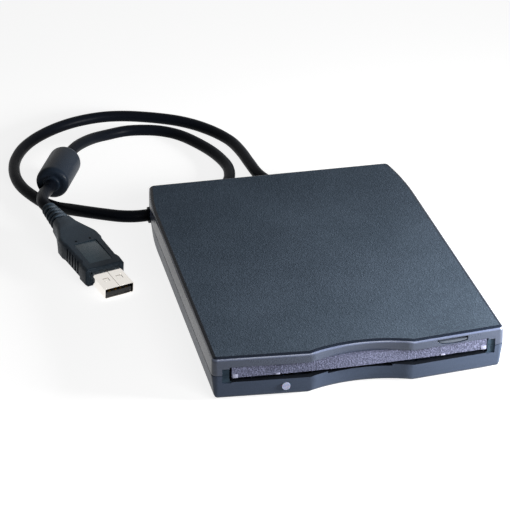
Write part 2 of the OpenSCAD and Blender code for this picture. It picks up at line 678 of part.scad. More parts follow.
module spindle_stator() color("#b5763a") translate([0, hub_y, deck + 0.4]) {
    difference() {
        cylinder(d = 18, h = 0.45, $fn = 96);
        translate([0, 0, -1]) cylinder(d = 14, h = 3);
    }
    for (i = [0 : 8]) rotate([0, 0, 40 * i]) translate([8, -1.6, 0]) {
        cube([9.6, 3.2, 0.35]);
        translate([1.6, -0.6, 0]) cube([5, 4.4, 0.45]);
    }
}

rot_z = deck + 1.15;                        // underside of the rotor's plate

module spindle_rotor() color("#c4c7cb") translate([0, hub_y, 0]) {
    difference() {
        translate([0, 0, rot_z - 0.45]) cylinder(d = rotor_d, h = 0.85, $fn = 96);
        translate([0, 0, rot_z - 1]) cylinder(d = rotor_d - 1.6, h = 1, $fn = 96);
        for (i = [0 : 5]) rotate([0, 0, 60 * i]) translate([14.5, 0, rot_z - 1])
            cylinder(d = 3, h = 3);
    }
    translate([0, 0, chas_z + 0.2]) cylinder(d = 3, h = rot_z - chas_z);
}

module spindle_hub() color("#d6d8db") translate([0, hub_y, rot_z + 0.4]) {
    difference() {
        cylinder(d = hub_d, h = 0.95, $fn = 96);
        for (i = [0 : 2]) rotate([0, 0, 120 * i + 50]) translate([6, 0, -1])
            cylinder(d = 2.4, h = 3);
    }
    cylinder(d = 3.9, h = 2.1);
    rotate([0, 0, 30]) translate([8.6, 0, 0]) cylinder(d = 2.4, h = 1.9);
}

module head_carriage() color("#c9ccd0") {
    difference() {
        union() {
            translate([rod_x - 3.5, car_y, deck + 0.5]) cube([20.5, 11.2, car_z - deck - 0.5]);
            translate([-4, head_y - 3, deck + 0.5]) cube([8, car_y - head_y + 4, 0.9]);
            // finger that rides on the lead screw
            translate([6.5, car_y + 4, screw_z + screw_d / 2 + 0.35])
                cube([5.5, 4, 0.8]);
            translate([6, car_y + 4, car_z - 1]) cube([1, 4,
                screw_z + screw_d / 2 + 2.15 - car_z]);
            for (s = [-1, 1]) translate([s * 6.25 - 0.75, arm_y - 1.6, car_z - 1])
                cube([1.5, 3.2, 1 + arm_z - car_z + 1.3]);
        }
        translate([rod_x, car_y - 1, rod_z]) rotate([-90, 0, 0])
            cylinder(d = rod_d + 2 * run, h = 14);
        translate([-8, arm_y, arm_z]) rotate([0, 90, 0]) cylinder(r = 0.6 + run, h = 16);
        translate([-5, car_y + 5, deck]) cube([9, 4, car_z - deck - 1.2]);
    }
}

module lower_head() color("#4b4f55") translate([0, head_y, deck + 1.4]) {
    translate([-3, -2.4, 0]) cube([6, 4.8, 0.5]);
    translate([-1.5, -2, 0]) cube([3, 4, bay_z0 - holder_drop + 1.5 - deck - 1.4]);
}

module upper_head_arm() color("#3f444a") {
    translate([-4.5, 0, 0]) rotate([90, 0, 90]) linear_extrude(height = 9)
        polygon([[arm_y, arm_z - 0.5], [arm_y, arm_z + 0.5], [head_y - 3, bay_z1 + 0.5],
            [head_y - 3, bay_z1 - 0.5], [head_y + 3, bay_z1 - 0.5]]);
    translate([-5.2, arm_y, arm_z]) rotate([0, 90, 0]) cylinder(r = 1.1, h = 10.4);
    translate([-7, arm_y, arm_z]) rotate([0, 90, 0]) cylinder(r = 0.6, h = 14);
}

module upper_head() color("#4b4f55") translate([0, head_y, 0]) {
    translate([-2.6, -2.2, bay_z1 - 0.8]) cube([5.2, 4.4, 0.3]);
    translate([-1.5, -2, bay_z1 - 1]) cube([3, 4, 0.4]);
}

module guide_rod() color("silver") translate([rod_x, back_y, rod_z]) rotate([-90, 0, 0])
    cylinder(d = rod_d, h = tab_y + 0.8 - back_y);

module lead_screw() color("#cfd2d6") translate([screw_x, back_y, screw_z]) rotate([-90, 0, 0]) {
    cylinder(d = 1.5, h = 2.5);
    // thread as a stack of shallow grooves
    translate([0, 0, 1.1]) rotate_extrude() polygon([[0, 0], [screw_d / 2, 0],
        for (i = [0 : 8]) each [[screw_d / 2, 1.5 + 3 * i], [screw_d / 2 - 0.3, 2 + 3 * i],
            [screw_d / 2 - 0.3, 2.6 + 3 * i], [screw_d / 2, 3.1 + 3 * i]],
        [screw_d / 2, tab_y - back_y - 0.8], [0, tab_y - back_y - 0.8]]);
    translate([0, 0, tab_y - back_y - 1]) cylinder(d = 1.5, h = 3);
}

module stepper_motor() color("#8d9196") translate([screw_x, tab_y + 0.8, screw_z])
    rotate([-90, 0, 0]) difference() {
        union() {
            cylinder(d = stepper_d, h = 10.6);
            cylinder(d = screw_d + 0.4, h = 11);
        }
        translate([0, 0, -1]) cylinder(d = 1.5 + 2 * run, h = 4);
        for (z = [2.6, 7.6]) translate([0, 0, z]) difference() {
            cylinder(d = stepper_d + 1, h = 0.4);
            cylinder(d = stepper_d - 0.5, h = 0.4);
        }
    }

module trigger_lever() color("#d2c9a8") translate([lever_at[0], lever_at[1], lever_z]) {
    tip = [18, hold_y1 - 7 - lever_at[1]];
    difference() {
        union() {
            cylinder(d = 5.4, h = 0.8);
            translate(tip) cylinder(r = 2, h = 0.8);
            linear_extrude(height = 0.8) {
                u = unit(tip);
                v = [-u[1], u[0]];
                polygon([2.2 * v, tip + 1.6 * v, tip - 1.6 * v, -2.2 * v]);
            }
        }
        translate([0, 0, -1]) cylinder(d = 2.4 + 2 * run, h = 3);
    }
}

// --- electronics ---
module interface_board() color("#2c6b3f") difference() {
    union() {
        translate([-47, 37, board_z]) cube([27, 19.6, board_t]);
        translate([-42.5, 56.6 - e, board_z]) cube([22.5, 10.4, board_t]);
    }
    for (p = [[-44, 40], [-25, 54.5], [-24, 40]]) translate([p[0], p[1], board_z - 1])
        cylinder(d = 1.6, h = 3);
}

// A flat chip with leads along its two long sides
module chip(l, w, h) {
    translate([-l / 2, -w / 2, 0.15]) cube([l, w, h]);
    for (i = [0 : floor(l / 1.3) - 1], s = [-1, 1])
        translate([-l / 2 + 0.5 + 1.3 * i, s * (w / 2 + 0.35) - 0.55, 0])
            cube([0.5, 1.1, 0.45]);
}

module interface_chips() color("#22262b") {
    translate([-32, 47.5, board_z + board_t]) chip(12, 8, 1.4);
    translate([-28, 61.5, board_z + board_t]) chip(6, 4, 1.3);
    translate([-42.6, 46.5, board_z + board_t]) cylinder(d = 4, h = 4.6);
}

module controller_board() color("#2c6b3f") difference() {
    union() {
        translate([20, 30, board_z]) cube([27, 27, board_t]);
        translate([20, 57 - e, board_z]) cube([22.5, 9.5, board_t]);
    }
    for (p = [[44, 34], [24, 54.5], [24, 34]]) translate([p[0], p[1], board_z - 1])
        cylinder(d = 1.6, h = 3);
}

module controller_chips() color("#22262b") {
    translate([33, 44, board_z + board_t]) chip(14, 10, 1.4);
    translate([32, 61, board_z + board_t]) chip(6, 4, 1.3);
    translate([42.5, 54, board_z + board_t]) cylinder(d = 5, h = 5);
}

// Flat cable that arches over the motor from board to board
module ribbon_cable() color("#b4b7ba") {
    top = screw_z + stepper_d / 2 + 0.7;
    foot = board_z + board_t;
    c = [[-22.5, foot], [-22.5, foot + 2.4], [-12, top - 0.6], [-5, top], [19, top],
        [22.5, top - 1.4], [24, foot + 2], [24, foot]];
    translate([0, 66.6, 0]) rotate([90, 0, 0]) linear_extrude(height = 6.4)
        polygon(concat([for (i = [0 : 7]) c[i] + band_n(c, i) * 0.15],
            [for (i = [7 : -1 : 0]) c[i] - band_n(c, i) * 0.15]));
}
// Normal of a chain of points at point i, lengthened in the bends
function band_n(c, i) = i == 0 || i == 7
    ? let (t = i == 0 ? unit(c[1] - c[0]) : unit(c[7] - c[6])) [-t[1], t[0]]
    : let (p = unit(c[i] - c[i - 1]), q = unit(c[i + 1] - c[i]), b = unit(p + q))
        [-b[1], b[0]] / (b * p);

module led_board() color("#2c6b3f") {
    translate([-lamp_x - 4.4, yf + 6.4, zfl + 0.6]) cube([9, 9, 0.8]);
}

// Lamp: a round lens that fills its bore, a collar behind the wall and a square body
module led_lens() color("#3c4a3a") translate([-lamp_x, 0, lamp_z]) {
    front = face_y(lamp_x) + 0.25;
    translate([0, front, 0]) rotate([-90, 0, 0]) cylinder(d = lamp_d, h = yf + 6 - front);
    translate([0, yf + 3.6, 0]) rotate([-90, 0, 0]) cylinder(d = lamp_d + 0.8, h = 0.9);
    for (x = [-0.9, 0.9]) translate([x - 0.2, yf + 5.6, -0.2]) cube([0.4, 2.4, 0.4]);
    for (x = [-0.9, 0.9]) translate([x - 0.2, yf + 7.6, zfl + 1.4 - lamp_z])
        cube([0.4, 0.4, lamp_z - zfl - 1.2]);
}

// --- cable entry ---
module cable_header() color("#e4e0d2")
    translate([-41.5, outlet[1] - 4, board_z + board_t]) difference() {
        cube([5, 8, 3.6]);
        translate([-1, 0.8, 1.2]) cube([4, 6.4, 3]);
    }

module cable_tail() color("#171b20") {
    x0 = outlet[0] + 3.4;
    translate([x0, outlet[1], outlet[2]]) rotate([0, 90, 0])
        cylinder(d = cord_d - 0.6, h = -45.4 - x0);
    // four leads that part in front of the header
    for (i = [0 : 3]) tube([[-45.5, outlet[1] + (i - 1.5) * 1.2, outlet[2]],
        [-44.6, outlet[1] + (i - 1.5) * 1.25, outlet[2] - 0.1],
        [-43.4, outlet[1] + (i - 1.5) * 1.35, outlet[2] - 0.6],
        [-42.3, outlet[1] + (i - 1.5) * 1.45, outlet[2] - 0.9],
        [-38.6, outlet[1] + (i - 1.5) * 1.45, outlet[2] - 0.9]], 0.45, 8);
}

module cable_clamp() color("#39414d") translate([saddle_x, outlet[1], outlet[2]])
    difference() {
        translate([0, -saddle_w / 2, 0]) cube([1.6, saddle_w, 3.6]);
        translate([-1, 0, 0]) rotate([0, 90, 0]) cylinder(d = cord_d - 0.5, h = 4);
    }

module cable_grommet() color("#171b20") translate([outlet[0], outlet[1], outlet[2]])
    rotate([0, 90, 0]) {
        translate([0, 0, -0.6]) cylinder(d = cord_d + 1.6, h = 3.8);
        translate([0, 0, 2.8]) cylinder(d = cord_d + 3.2, h = 0.6);
    }

// --- plug: its nose is local -Y, its top local +Z ---
plug_turn = 17;
plug_tilt = 6.5;
plug_at = [-74.2, 24.6, 4.1];
function plug_p(p) = let (y = p[1] * cos(plug_tilt) - p[2] * sin(plug_tilt),
    z = p[1] * sin(plug_tilt) + p[2] * cos(plug_tilt))
    plug_at + [p[0] * cos(plug_turn) - y * sin(plug_turn),
        p[0] * sin(plug_turn) + y * cos(plug_turn), z];
module at_plug() translate(plug_at) rotate([0, 0, plug_turn]) rotate([plug_tilt, 0, 0])
    children();

// --- the cable outside the case ---
lay = cord_d / 2 + 0.02;                    // its middle where it lies on the table
core_z = ferrite_d / 2 + 0.05;
core_at = [-84.5, 100.8, core_z];           // middle of the ferrite core's front face
core_dir = unit([0.377, 0.925, 0]);
core_end = core_at + ferrite_l * core_dir;
lying = [[-95.3, 110], [-96.8, 119.5], [-96.4, 130], [-94.2, 139.5], [-90, 149],
    [-83.8, 157.5], [-75.5, 165], [-66.5, 170.3], [-58, 173], [-50, 173.8],
    [-42, 172.6], [-34.5, 170], [-27, 166.5], [-19.8, 162], [-13, 155.5], [-7, 147],
    [-2.2, 136.5], [0, 125], [1, 113], [2.2, 101.5], [5.2, 92.5], [7.5, 84.5],
    [3.5, 77], [-4.5, 75.2], [-12.5, 77.8], [-16, 85], [-13.2, 93.5], [-10, 101.5],
    [-8.8, 112], [-11.5, 125.5], [-16.8, 138], [-22.7, 147.5], [-29.6, 153.3],
    [-37, 156], [-44.8, 156.6]];
cable_pts = concat([outlet - [0.6, 0, 0], outlet - [5.6, 0, 0], [-62, 61.8, 9.1],
    [-67.5, 66, 8.4], [-73.5, 71.5, 7.4], [-79, 77.8, 6], [-84, 85.5, 3.8],
    [-88.5, 93.5, 2.6], [-92.3, 101.5, 2.5]], [for (p = lying) [p[0], p[1], lay]],
    [[-53, 153.2, 3], [-60, 148, 4.3], [-66, 140.8, 5.8], [-70.2, 134.5, 6.6],
    core_end + 5 * core_dir, core_end]);
end_pts = [core_at, core_at - 5 * core_dir, [-88.3, 90.5, 8.5],
    [-90, 84, 9.8], plug_p([0, cover_l + relief_l + 5, 0]),
    plug_p([0, cover_l + relief_l, 0])];

// Adds a point half way where the route turns sharply
function turn_at(p, i) = i < 1 || i > len(p) - 2 ? 0
    : acos(min(1, unit(p[i] - p[i - 1]) * unit(p[i + 1] - p[i])));
function eased(p) = [for (i = [0 : len(p) - 1])
    each (max(turn_at(p, i), turn_at(p, i + 1)) > 25 && i > 0 && i < len(p) - 2
        ? [p[i], (9 * (p[i] + p[i + 1]) - p[i - 1] - p[i + 2]) / 16] : [p[i]])];

module usb_cable() color("#171b20") tube(eased(cable_pts), cord_d / 2, 10);

module usb_cable_end() color("#171b20") tube(end_pts, cord_d / 2, 10);

module ferrite_core() color("#1b2027") translate(core_at)
    rotate([0, 0, atan2(core_dir[1], core_dir[0]) - 90]) rotate([-90, 0, 0])
        rotate_extrude($fn = 64) polygon(concat(core_side,
            [for (i = [len(core_side) - 1 : -1 : 0]) [core_side[i][0], ferrite_l
                - core_side[i][1]]]));
// Half of the core's section: a collar round the cable, then the rounded shoulder
core_side = [[0, 0], [cord_d / 2 + 0.7, 0], [cord_d / 2 + 1.1, 0.35], [cord_d / 2 + 1.2, 0.9],
    [ferrite_d / 2 - 1.5, 0.95], [ferrite_d / 2 - 0.6, 1.35], [ferrite_d / 2, 2.5]];

// Lofts rectangles with bevelled edges along Y: [y, half width, half height, bevel]
function ring8(k) = [for (p = [[1, 1, 0, 1], [1, 1, 1, 0], [-1, 1, 1, 0], [-1, 1, 0, 1],
    [-1, -1, 0, 1], [-1, -1, 1, 0], [1, -1, 1, 0], [1, -1, 0, 1]])
    [p[0] * (k[1] - p[2] * k[3]), k[0], p[1] * (k[2] - p[3] * k[3])]];
module loft_y(sec) {
    m = len(sec);
    polyhedron(points = [for (k = sec) each ring8(k)], faces = concat(
        [[for (j = [7 : -1 : 0]) j]],
        [for (i = [0 : m - 2], j = [0 : 7]) let (a = i * 8 + j, b = i * 8 + (j + 1) % 8)
            each [[a, b, b + 8], [a, b + 8, a + 8]]],
        [[for (j = [0 : 7]) (m - 1) * 8 + j]]));
}

module plug_cover() color("#27303a") at_plug() {
    h = cover_h / 2;
    l = cover_l;
    difference() {
        loft_y([[0, 7.5, h - 0.5, 0.9], [0.5, 8, h, 1.1], [5, 8.2, h, 1.1], [6, 7.5, h, 1.1],
            [19, 7.7, h, 1.1], [20.5, 8.2, h, 1.1], [l - 13.5, 8.1, h, 1.2],
            [l - 9, 6.3, h, 1.3], [l - 4.5, 4.7, h - 0.1, 1.4], [l, 4.1, h - 0.3, 1.5]]);
        // seat of the metal shell
        translate([-plug_w / 2 - 0.05, -1, -plug_h / 2 - 0.05])
            cube([plug_w + 0.1, 4, plug_h + 0.1]);
        // bare sunk panel, and grip grooves in the waists
        translate([-4.7, 3.5, h - 0.35]) cube([9.4, 14.5, 1]);
        for (s = [-1, 1], i = [0 : 4]) translate([s * 8.2 - 1, 7.6 + 2.3 * i, 1 - h])
            cube([2, 1, 2 * h - 2]);
    }
}

module plug_relief() color("#27303a") at_plug() translate([0, cover_l, 0])
    rotate([-90, 0, 0]) {
        rotate_extrude($fn = 64) polygon([[0, 0], [3.5, 0], for (i = [0 : 3]) let
            (z = relief_l * (0.12 + 0.2 * i), r = 3.9 - 0.25 * i) each [[r - 1, z],
            [r - 0.8, z + 0.1], [r, z + 0.4], [r, z + 1.3], [r - 0.8, z + 1.6]],
            [3, relief_l - 0.6], [2.7, relief_l], [0, relief_l]]);
    }

module plug_shell() color("#d9d4c8") at_plug() {
    difference() {
        shell_bar(0, -plug_l, 3);
        shell_bar(0.3, -plug_l - 1, 4);
        for (x = [-2.7, 2.7], z = [-1, 1]) translate([x - 1.1, -7.6, z * plug_h / 2 - 1])
            cube([2.2, 2.2, 2]);
        // folded seam
        translate([-0.06, -plug_l - 1, plug_h / 2 - 0.12]) cube([0.12, plug_l + 5, 1]);
    }
}
module shell_bar(d, y0, y1) translate([0, y1, 0]) rotate([90, 0, 0])
    linear_extrude(height = y1 - y0) {
        w = plug_w / 2 - d;
        h = plug_h / 2 - d;
        c = 0.5 - d * 0.7;
        polygon([[-w + c, -h], [w - c, -h], [w, -h + c], [w, h - c], [w - c, h],
            [-w + c, h], [-w, h - c], [-w, -h + c]]);
    }

module plug_tongue() color("#15171a") at_plug()
    translate([-plug_w / 2 + 0.65, 0.9 - plug_l, -plug_h / 2 + 0.35])
        cube([plug_w - 1.3, plug_l + 2, 1.85]);

module plug_contacts() color("#c9a24a") at_plug() for (x = [-3.5, -1, 1, 3.5])
    translate([x - 0.5, 1.4 - plug_l, -plug_h / 2 + 2.2]) cube([1, 8.6, 0.15]);

upper_shell();
lower_shell();
rubber_feet();
case_screws();
slot_flap();
flap_spring();
eject_button();
eject_slider();
eject_spring();
disk_holder();
holder_rails();
drive_chassis();
chassis_rails();
chassis_screws();
spindle_board();
spindle_stator();
spindle_bearing();
spindle_rotor();
spindle_hub();
head_carriage();
lower_head();
upper_head_arm();
upper_head();
guide_rod();
lead_screw();
stepper_motor();
trigger_lever();
interface_board();
interface_chips();
controller_board();
controller_chips();
ribbon_cable();
cable_header();
cable_tail();
cable_clamp();
cable_grommet();
usb_cable();
ferrite_core();
usb_cable_end();
plug_relief();
plug_cover();
plug_shell();
plug_tongue();
plug_contacts();
led_lens();
led_board();
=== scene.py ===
"""Slim external diskette drive with a fixed cable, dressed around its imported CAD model.

The case is a two-part moulding with a textured dust flap across a wide slot, an eject
button, an activity lamp and a cable with a ferrite core and a flat plug. All sizes are in
metres, in the frame of the CAD model.
"""
from __future__ import annotations

import logging
import math
from dataclasses import dataclass, field
from enum import Enum
from typing import Any, ClassVar, Sequence

import bmesh
import bpy
from mathutils import Matrix, Vector

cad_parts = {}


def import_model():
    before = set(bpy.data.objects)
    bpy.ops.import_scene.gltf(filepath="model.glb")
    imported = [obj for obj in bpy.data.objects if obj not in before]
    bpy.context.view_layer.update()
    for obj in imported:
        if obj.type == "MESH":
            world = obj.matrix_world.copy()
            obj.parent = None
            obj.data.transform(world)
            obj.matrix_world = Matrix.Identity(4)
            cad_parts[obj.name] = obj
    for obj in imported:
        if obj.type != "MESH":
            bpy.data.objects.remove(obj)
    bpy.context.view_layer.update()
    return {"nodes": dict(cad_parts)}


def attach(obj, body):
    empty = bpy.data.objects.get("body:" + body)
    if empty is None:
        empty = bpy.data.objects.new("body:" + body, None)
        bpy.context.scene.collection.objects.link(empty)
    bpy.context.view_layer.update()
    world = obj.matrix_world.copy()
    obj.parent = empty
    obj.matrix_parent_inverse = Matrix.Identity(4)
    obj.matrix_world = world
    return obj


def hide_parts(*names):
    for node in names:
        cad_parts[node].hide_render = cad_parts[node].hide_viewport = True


LOG = logging.getLogger("drive")
MM = 0.001
Colour = tuple[float, float, float]
Point = tuple[float, float, float]
Nodes = dict[str, bpy.types.Object]


def srgb(red: int, green: int, blue: int) -> Colour:
    """Turn a screen colour into a linear one.

    Args:
        red: red channel, 0 to 255.
        green: green channel, 0 to 255.
        blue: blue channel, 0 to 255.

    Returns:
        The linear colour, 0 to 1 a channel.
    """

    def linear(value: int) -> float:
        """Undo the screen's transfer curve for one channel."""
        share = value / 255.0
        if share <= 0.04045:
            return share / 12.92
        return ((share + 0.055) / 1.055) ** 2.4

    return (linear(red), linear(green), linear(blue))


# --------------------------------------------------------------------- finishes


class Surface(Enum):
    """How a finish catches the light."""

    MOULDED = "moulded"
    METAL = "metal"
    JACKET = "jacket"
    BOARD = "board"
    LENS = "lens"


@dataclass(frozen=True)
class Finish:
    """One material: its two colours, its gloss and its grain.

    Attributes:
        grain: width of a grain in millimetres.
        depth: how strongly the grain stands out, 0 to 1.
        mottle: how far the flecks take on the second colour, 0 to 1.
    """

    name: str
    slot: str
    surface: Surface
    colour: Colour
    fleck: Colour
    roughness: float
    grain: float
    depth: float
    mottle: float
    specular: float = 0.5
    coat: float = 0.0
    metallic: float = 0.0

    coat_roughness: ClassVar[float] = 0.25
    grain_height: ClassVar[float] = 0.35
    scatter: ClassVar[float] = 0.25
    scatter_depth: ClassVar[float] = 0.8 * MM
    lens_index: ClassVar[float] = 1.49

    def shader(self, tree: bpy.types.NodeTree) -> bpy.types.Node:
        """Add the shader with the values that are the same all over the surface.

        Args:
            tree: the material's node tree.

        Returns:
            The shader node.
        """
        shader = tree.nodes.new("ShaderNodeBsdfPrincipled")
        shader.inputs["Specular IOR Level"].default_value = self.specular
        shader.inputs["Metallic"].default_value = self.metallic
        shader.inputs["Coat Weight"].default_value = self.coat
        shader.inputs["Coat Roughness"].default_value = self.coat_roughness
        if self.surface is Surface.LENS:
            shader.inputs["Subsurface Weight"].default_value = self.scatter
            shader.inputs["Subsurface Scale"].default_value = self.scatter_depth
            shader.inputs["IOR"].default_value = self.lens_index
        return shader

    def material(self) -> bpy.types.Material:
        """Build the node material, or return it if it is there already.

        Returns:
            The material that carries this finish.
        """
        found = bpy.data.materials.get(self.name)
        if found is not None:
            return found
        made = bpy.data.materials.new(self.name)
        made.use_nodes = True
        made.diffuse_color = (*self.colour, 1.0)
        tree = made.node_tree
        tree.nodes.clear()
        output = tree.nodes.new("ShaderNodeOutputMaterial")
        shader = self.shader(tree)
        tree.links.new(shader.outputs["BSDF"], output.inputs["Surface"])
        place = tree.nodes.new("ShaderNodeTexCoord")
        grain = tree.nodes.new("ShaderNodeGroup")
        grain.node_tree = SurfacePattern(self.surface).group()
        tree.links.new(place.outputs["Object"], grain.inputs["Place"])
        grain.inputs["Grain Size"].default_value = self.grain
        grain.inputs["Colour"].default_value = (*self.colour, 1.0)
        grain.inputs["Fleck"].default_value = (*self.fleck, 1.0)
        grain.inputs["Mottle"].default_value = self.mottle
        grain.inputs["Roughness"].default_value = self.roughness
        bump = tree.nodes.new("ShaderNodeBump")
        bump.inputs["Strength"].default_value = self.depth
        bump.inputs["Distance"].default_value = self.grain * MM * self.grain_height
        tree.links.new(grain.outputs["Height"], bump.inputs["Height"])
        tree.links.new(grain.outputs["Colour"], shader.inputs["Base Color"])
        tree.links.new(grain.outputs["Roughness"], shader.inputs["Roughness"])
        tree.links.new(bump.outputs["Normal"], shader.inputs["Normal"])
        return made


class NodeSketch:
    """Small helper that adds and links nodes in one tree."""

    def __init__(self, tree: bpy.types.NodeTree) -> None:
        """Keep the tree that the nodes go into."""
        self.tree = tree

    def add(self, kind: str, **values: Any) -> bpy.types.Node:
        """Add a node and set the attributes given by name.

        Args:
            kind: the node's Blender type.
            **values: attributes of the node.

        Returns:
            The new node.
        """
        node = self.tree.nodes.new(kind)
        for key, value in values.items():
            setattr(node, key, value)
        return node

    def link(self, source: Any, target: Any) -> None:
        """Link one socket to another."""
        self.tree.links.new(source, target)

    def feed(self, item: Any, target: Any) -> None:
        """Set a socket to a number, or link another socket to it.

        Args:
            item: number or socket that goes in.
            target: the socket that takes it.
        """
        if isinstance(item, (int, float)):
            target.default_value = float(item)
        else:
            self.link(item, target)

    def socket(self, sockets: Any, identifier: str) -> Any:
        """Find the socket that has an identifier, as a Mix node's share one name."""
        return next(item for item in sockets if item.identifier == identifier)

    def math(self, operation: str, first: Any, second: Any) -> Any:
        """Add a Math node; a number is set and a socket is linked.

        Args:
            operation: the Math node's operation.
            first: socket or number for the first input.
            second: socket or number for the second input.

        Returns:
            The value socket that comes out.
        """
        node = self.add("ShaderNodeMath", operation=operation)
        for item, target in zip((first, second), node.inputs):
            self.feed(item, target)
        return node.outputs["Value"]

    def noise(self, vector: Any, scale: Any, detail: float = 2.0) -> Any:
        """Add a noise texture.

        Args:
            vector: socket with the place.
            scale: socket or number with the noise's scale.
            detail: how many octaves it has.

        Returns:
            The noise's factor socket.
        """
        node = self.add("ShaderNodeTexNoise")
        node.inputs["Detail"].default_value = detail
        self.link(vector, node.inputs["Vector"])
        self.feed(scale, node.inputs["Scale"])
        return node.outputs["Fac"]

    def spread(self, value: Any, low: float, high: float) -> Any:
        """Map a value from low..high to 0..1 and clamp it.

        Args:
            value: socket to stretch.
            low: value that becomes 0.
            high: value that becomes 1.

        Returns:
            The stretched value socket.
        """
        node = self.add("ShaderNodeMapRange")
        node.inputs["From Min"].default_value = low
        node.inputs["From Max"].default_value = high
        self.link(value, node.inputs["Value"])
        return node.outputs["Result"]


@dataclass(frozen=True)
class SurfacePattern:
    """The node group of one kind of surface: fine flecks, broad clouds and grain."""

    surface: Surface
    cloud_scale: float = 45.0
    cloud_detail: float = 3.0
    brush_stretch: float = 0.12
    weave_scale: float = 900.0
    cell_softness: float = 0.6
    pore_scale: float = 1.7
    fleck_band: tuple[float, float] = (0.42, 0.72)
    cloud_band: tuple[float, float] = (0.35, 0.68)
    fleck_share: float = 0.75
    gloss_sway: float = 0.16

    def sockets(self, tree: bpy.types.NodeTree) -> None:
        """Name what goes into the group and what comes out of it.

        Args:
            tree: the group's node tree.
        """
        colour, number = "NodeSocketColor", "NodeSocketFloat"
        wanted = {
            "INPUT": (("Place", "NodeSocketVector"), ("Grain Size", number),
                      ("Colour", colour), ("Fleck", colour), ("Mottle", number),
                      ("Roughness", number)),
            "OUTPUT": (("Colour", colour), ("Roughness", number), ("Height", number)),
        }
        for way, sockets in wanted.items():
            for label, kind in sockets:
                tree.interface.new_socket(label, in_out=way, socket_type=kind)

    def grain(self, sketch: NodeSketch, place: Any, fine: Any) -> tuple[Any, Any]:
        """Draw the grain: brushed on metal, woven on a board, pebbled on the rest.

        Args:
            sketch: helper for the group's tree.
            place: socket with the place on the object.
            fine: socket with the grains a metre.

        Returns:
            The flecks' socket and the height's socket.
        """
        if self.surface is Surface.METAL:
            stretch = sketch.add("ShaderNodeMapping")
            stretch.inputs["Scale"].default_value = (1.0, self.brush_stretch, 1.0)
            sketch.link(place, stretch.inputs["Vector"])
            lines = sketch.noise(stretch.outputs["Vector"], fine)
            return lines, lines
        if self.surface is Surface.BOARD:
            weave = sketch.add("ShaderNodeTexVoronoi")
            weave.inputs["Scale"].default_value = self.weave_scale
            sketch.link(place, weave.inputs["Vector"])
            return weave.outputs["Distance"], weave.outputs["Distance"]
        cells = sketch.add("ShaderNodeTexVoronoi", feature="SMOOTH_F1")
        cells.inputs["Smoothness"].default_value = self.cell_softness
        sketch.link(place, cells.inputs["Vector"])
        sketch.link(fine, cells.inputs["Scale"])
        pores = sketch.noise(place, sketch.math("MULTIPLY", fine, self.pore_scale))
        height = sketch.math("ADD", cells.outputs["Distance"], pores)
        return sketch.noise(place, fine), height

    def group(self) -> bpy.types.NodeTree:
        """Build the node group, or return it if it is there already.

        Returns:
            The node group, with colour, roughness and height coming out.
        """
        name = f"{self.surface.value} surface"
        found = bpy.data.node_groups.get(name)
        if found is not None:
            return found
        tree = bpy.data.node_groups.new(name, "ShaderNodeTree")
        self.sockets(tree)
        sketch = NodeSketch(tree)
        given = sketch.add("NodeGroupInput")
        taken = sketch.add("NodeGroupOutput")
        place = given.outputs["Place"]
        fine = sketch.math("DIVIDE", 1.0 / MM, given.outputs["Grain Size"])
        clouds = sketch.noise(place, self.cloud_scale, self.cloud_detail)
        flecks, height = self.grain(sketch, place, fine)
        both = sketch.math(
            "ADD",
            sketch.math("MULTIPLY", sketch.spread(flecks, *self.fleck_band),
                        self.fleck_share),
            sketch.math("MULTIPLY", sketch.spread(clouds, *self.cloud_band),
                        1.0 - self.fleck_share))
        mix = sketch.add("ShaderNodeMix", data_type="RGBA", blend_type="MIX")
        sketch.link(sketch.math("MULTIPLY", both, given.outputs["Mottle"]),
                    mix.inputs["Factor"])
        sketch.link(given.outputs["Colour"], sketch.socket(mix.inputs, "A_Color"))
        sketch.link(given.outputs["Fleck"], sketch.socket(mix.inputs, "B_Color"))
        sketch.link(sketch.socket(mix.outputs, "Result_Color"), taken.inputs["Colour"])
        sway = sketch.math("MULTIPLY", sketch.math("SUBTRACT", both, 0.5),
                           self.gloss_sway)
        sketch.link(sketch.math("ADD", given.outputs["Roughness"], sway),
                    taken.inputs["Roughness"])
        sketch.link(height, taken.inputs["Height"])
        return tree


CASE_TOP = Finish(
    "Housing top, fine matt moulding", "case_top", Surface.MOULDED,
    srgb(55, 64, 74), srgb(80, 91, 104),
    roughness=0.6, grain=0.6, depth=0.35, mottle=0.7, specular=0.0)
CASE_FRONT = Finish(
    "Housing front, smooth moulding", "case_top", Surface.MOULDED,
    srgb(50, 57, 72), srgb(62, 69, 85),
    roughness=0.34, grain=0.45, depth=0.1, mottle=0.4, specular=0.4)
# Painted shade: the rim's upper band is coloured near black, a painted dark reflection
# along the top's edge.
RIM_PAINTED_DARK_REFLECTION = Finish(
    "Housing rim, painted dark reflection", "case_top", Surface.MOULDED,
    srgb(20, 26, 36), srgb(30, 38, 50),
    roughness=0.3, grain=0.4, depth=0.05, mottle=0.3, specular=0.08)
# Partly painted highlight: the rim's lower band is really glossier, and its colour is
# lighter than the front's to paint the highlight line under the dark band.
RIM_PAINTED_HIGHLIGHT = Finish(
    "Housing rim, glossy edge with painted highlight", "case_top", Surface.MOULDED,
    srgb(78, 86, 108), srgb(90, 98, 120),
    roughness=0.24, grain=0.4, depth=0.05, mottle=0.3, specular=0.5)
CASE_BOTTOM = Finish(
    "Housing base, smooth moulding", "case_bottom", Surface.MOULDED,
    srgb(52, 61, 77), srgb(62, 72, 89),
    roughness=0.4, grain=0.45, depth=0.12, mottle=0.5, specular=0.12)
# Painted shade: the slot's floor is coloured near black for the shadow inside the slot.
SLOT_PAINTED_SHADE = Finish(
    "Slot floor, painted shade", "case_bottom", Surface.MOULDED,
    srgb(14, 17, 22), srgb(22, 26, 33),
    roughness=0.6, grain=0.5, depth=0.2, mottle=0.4, specular=0.05)
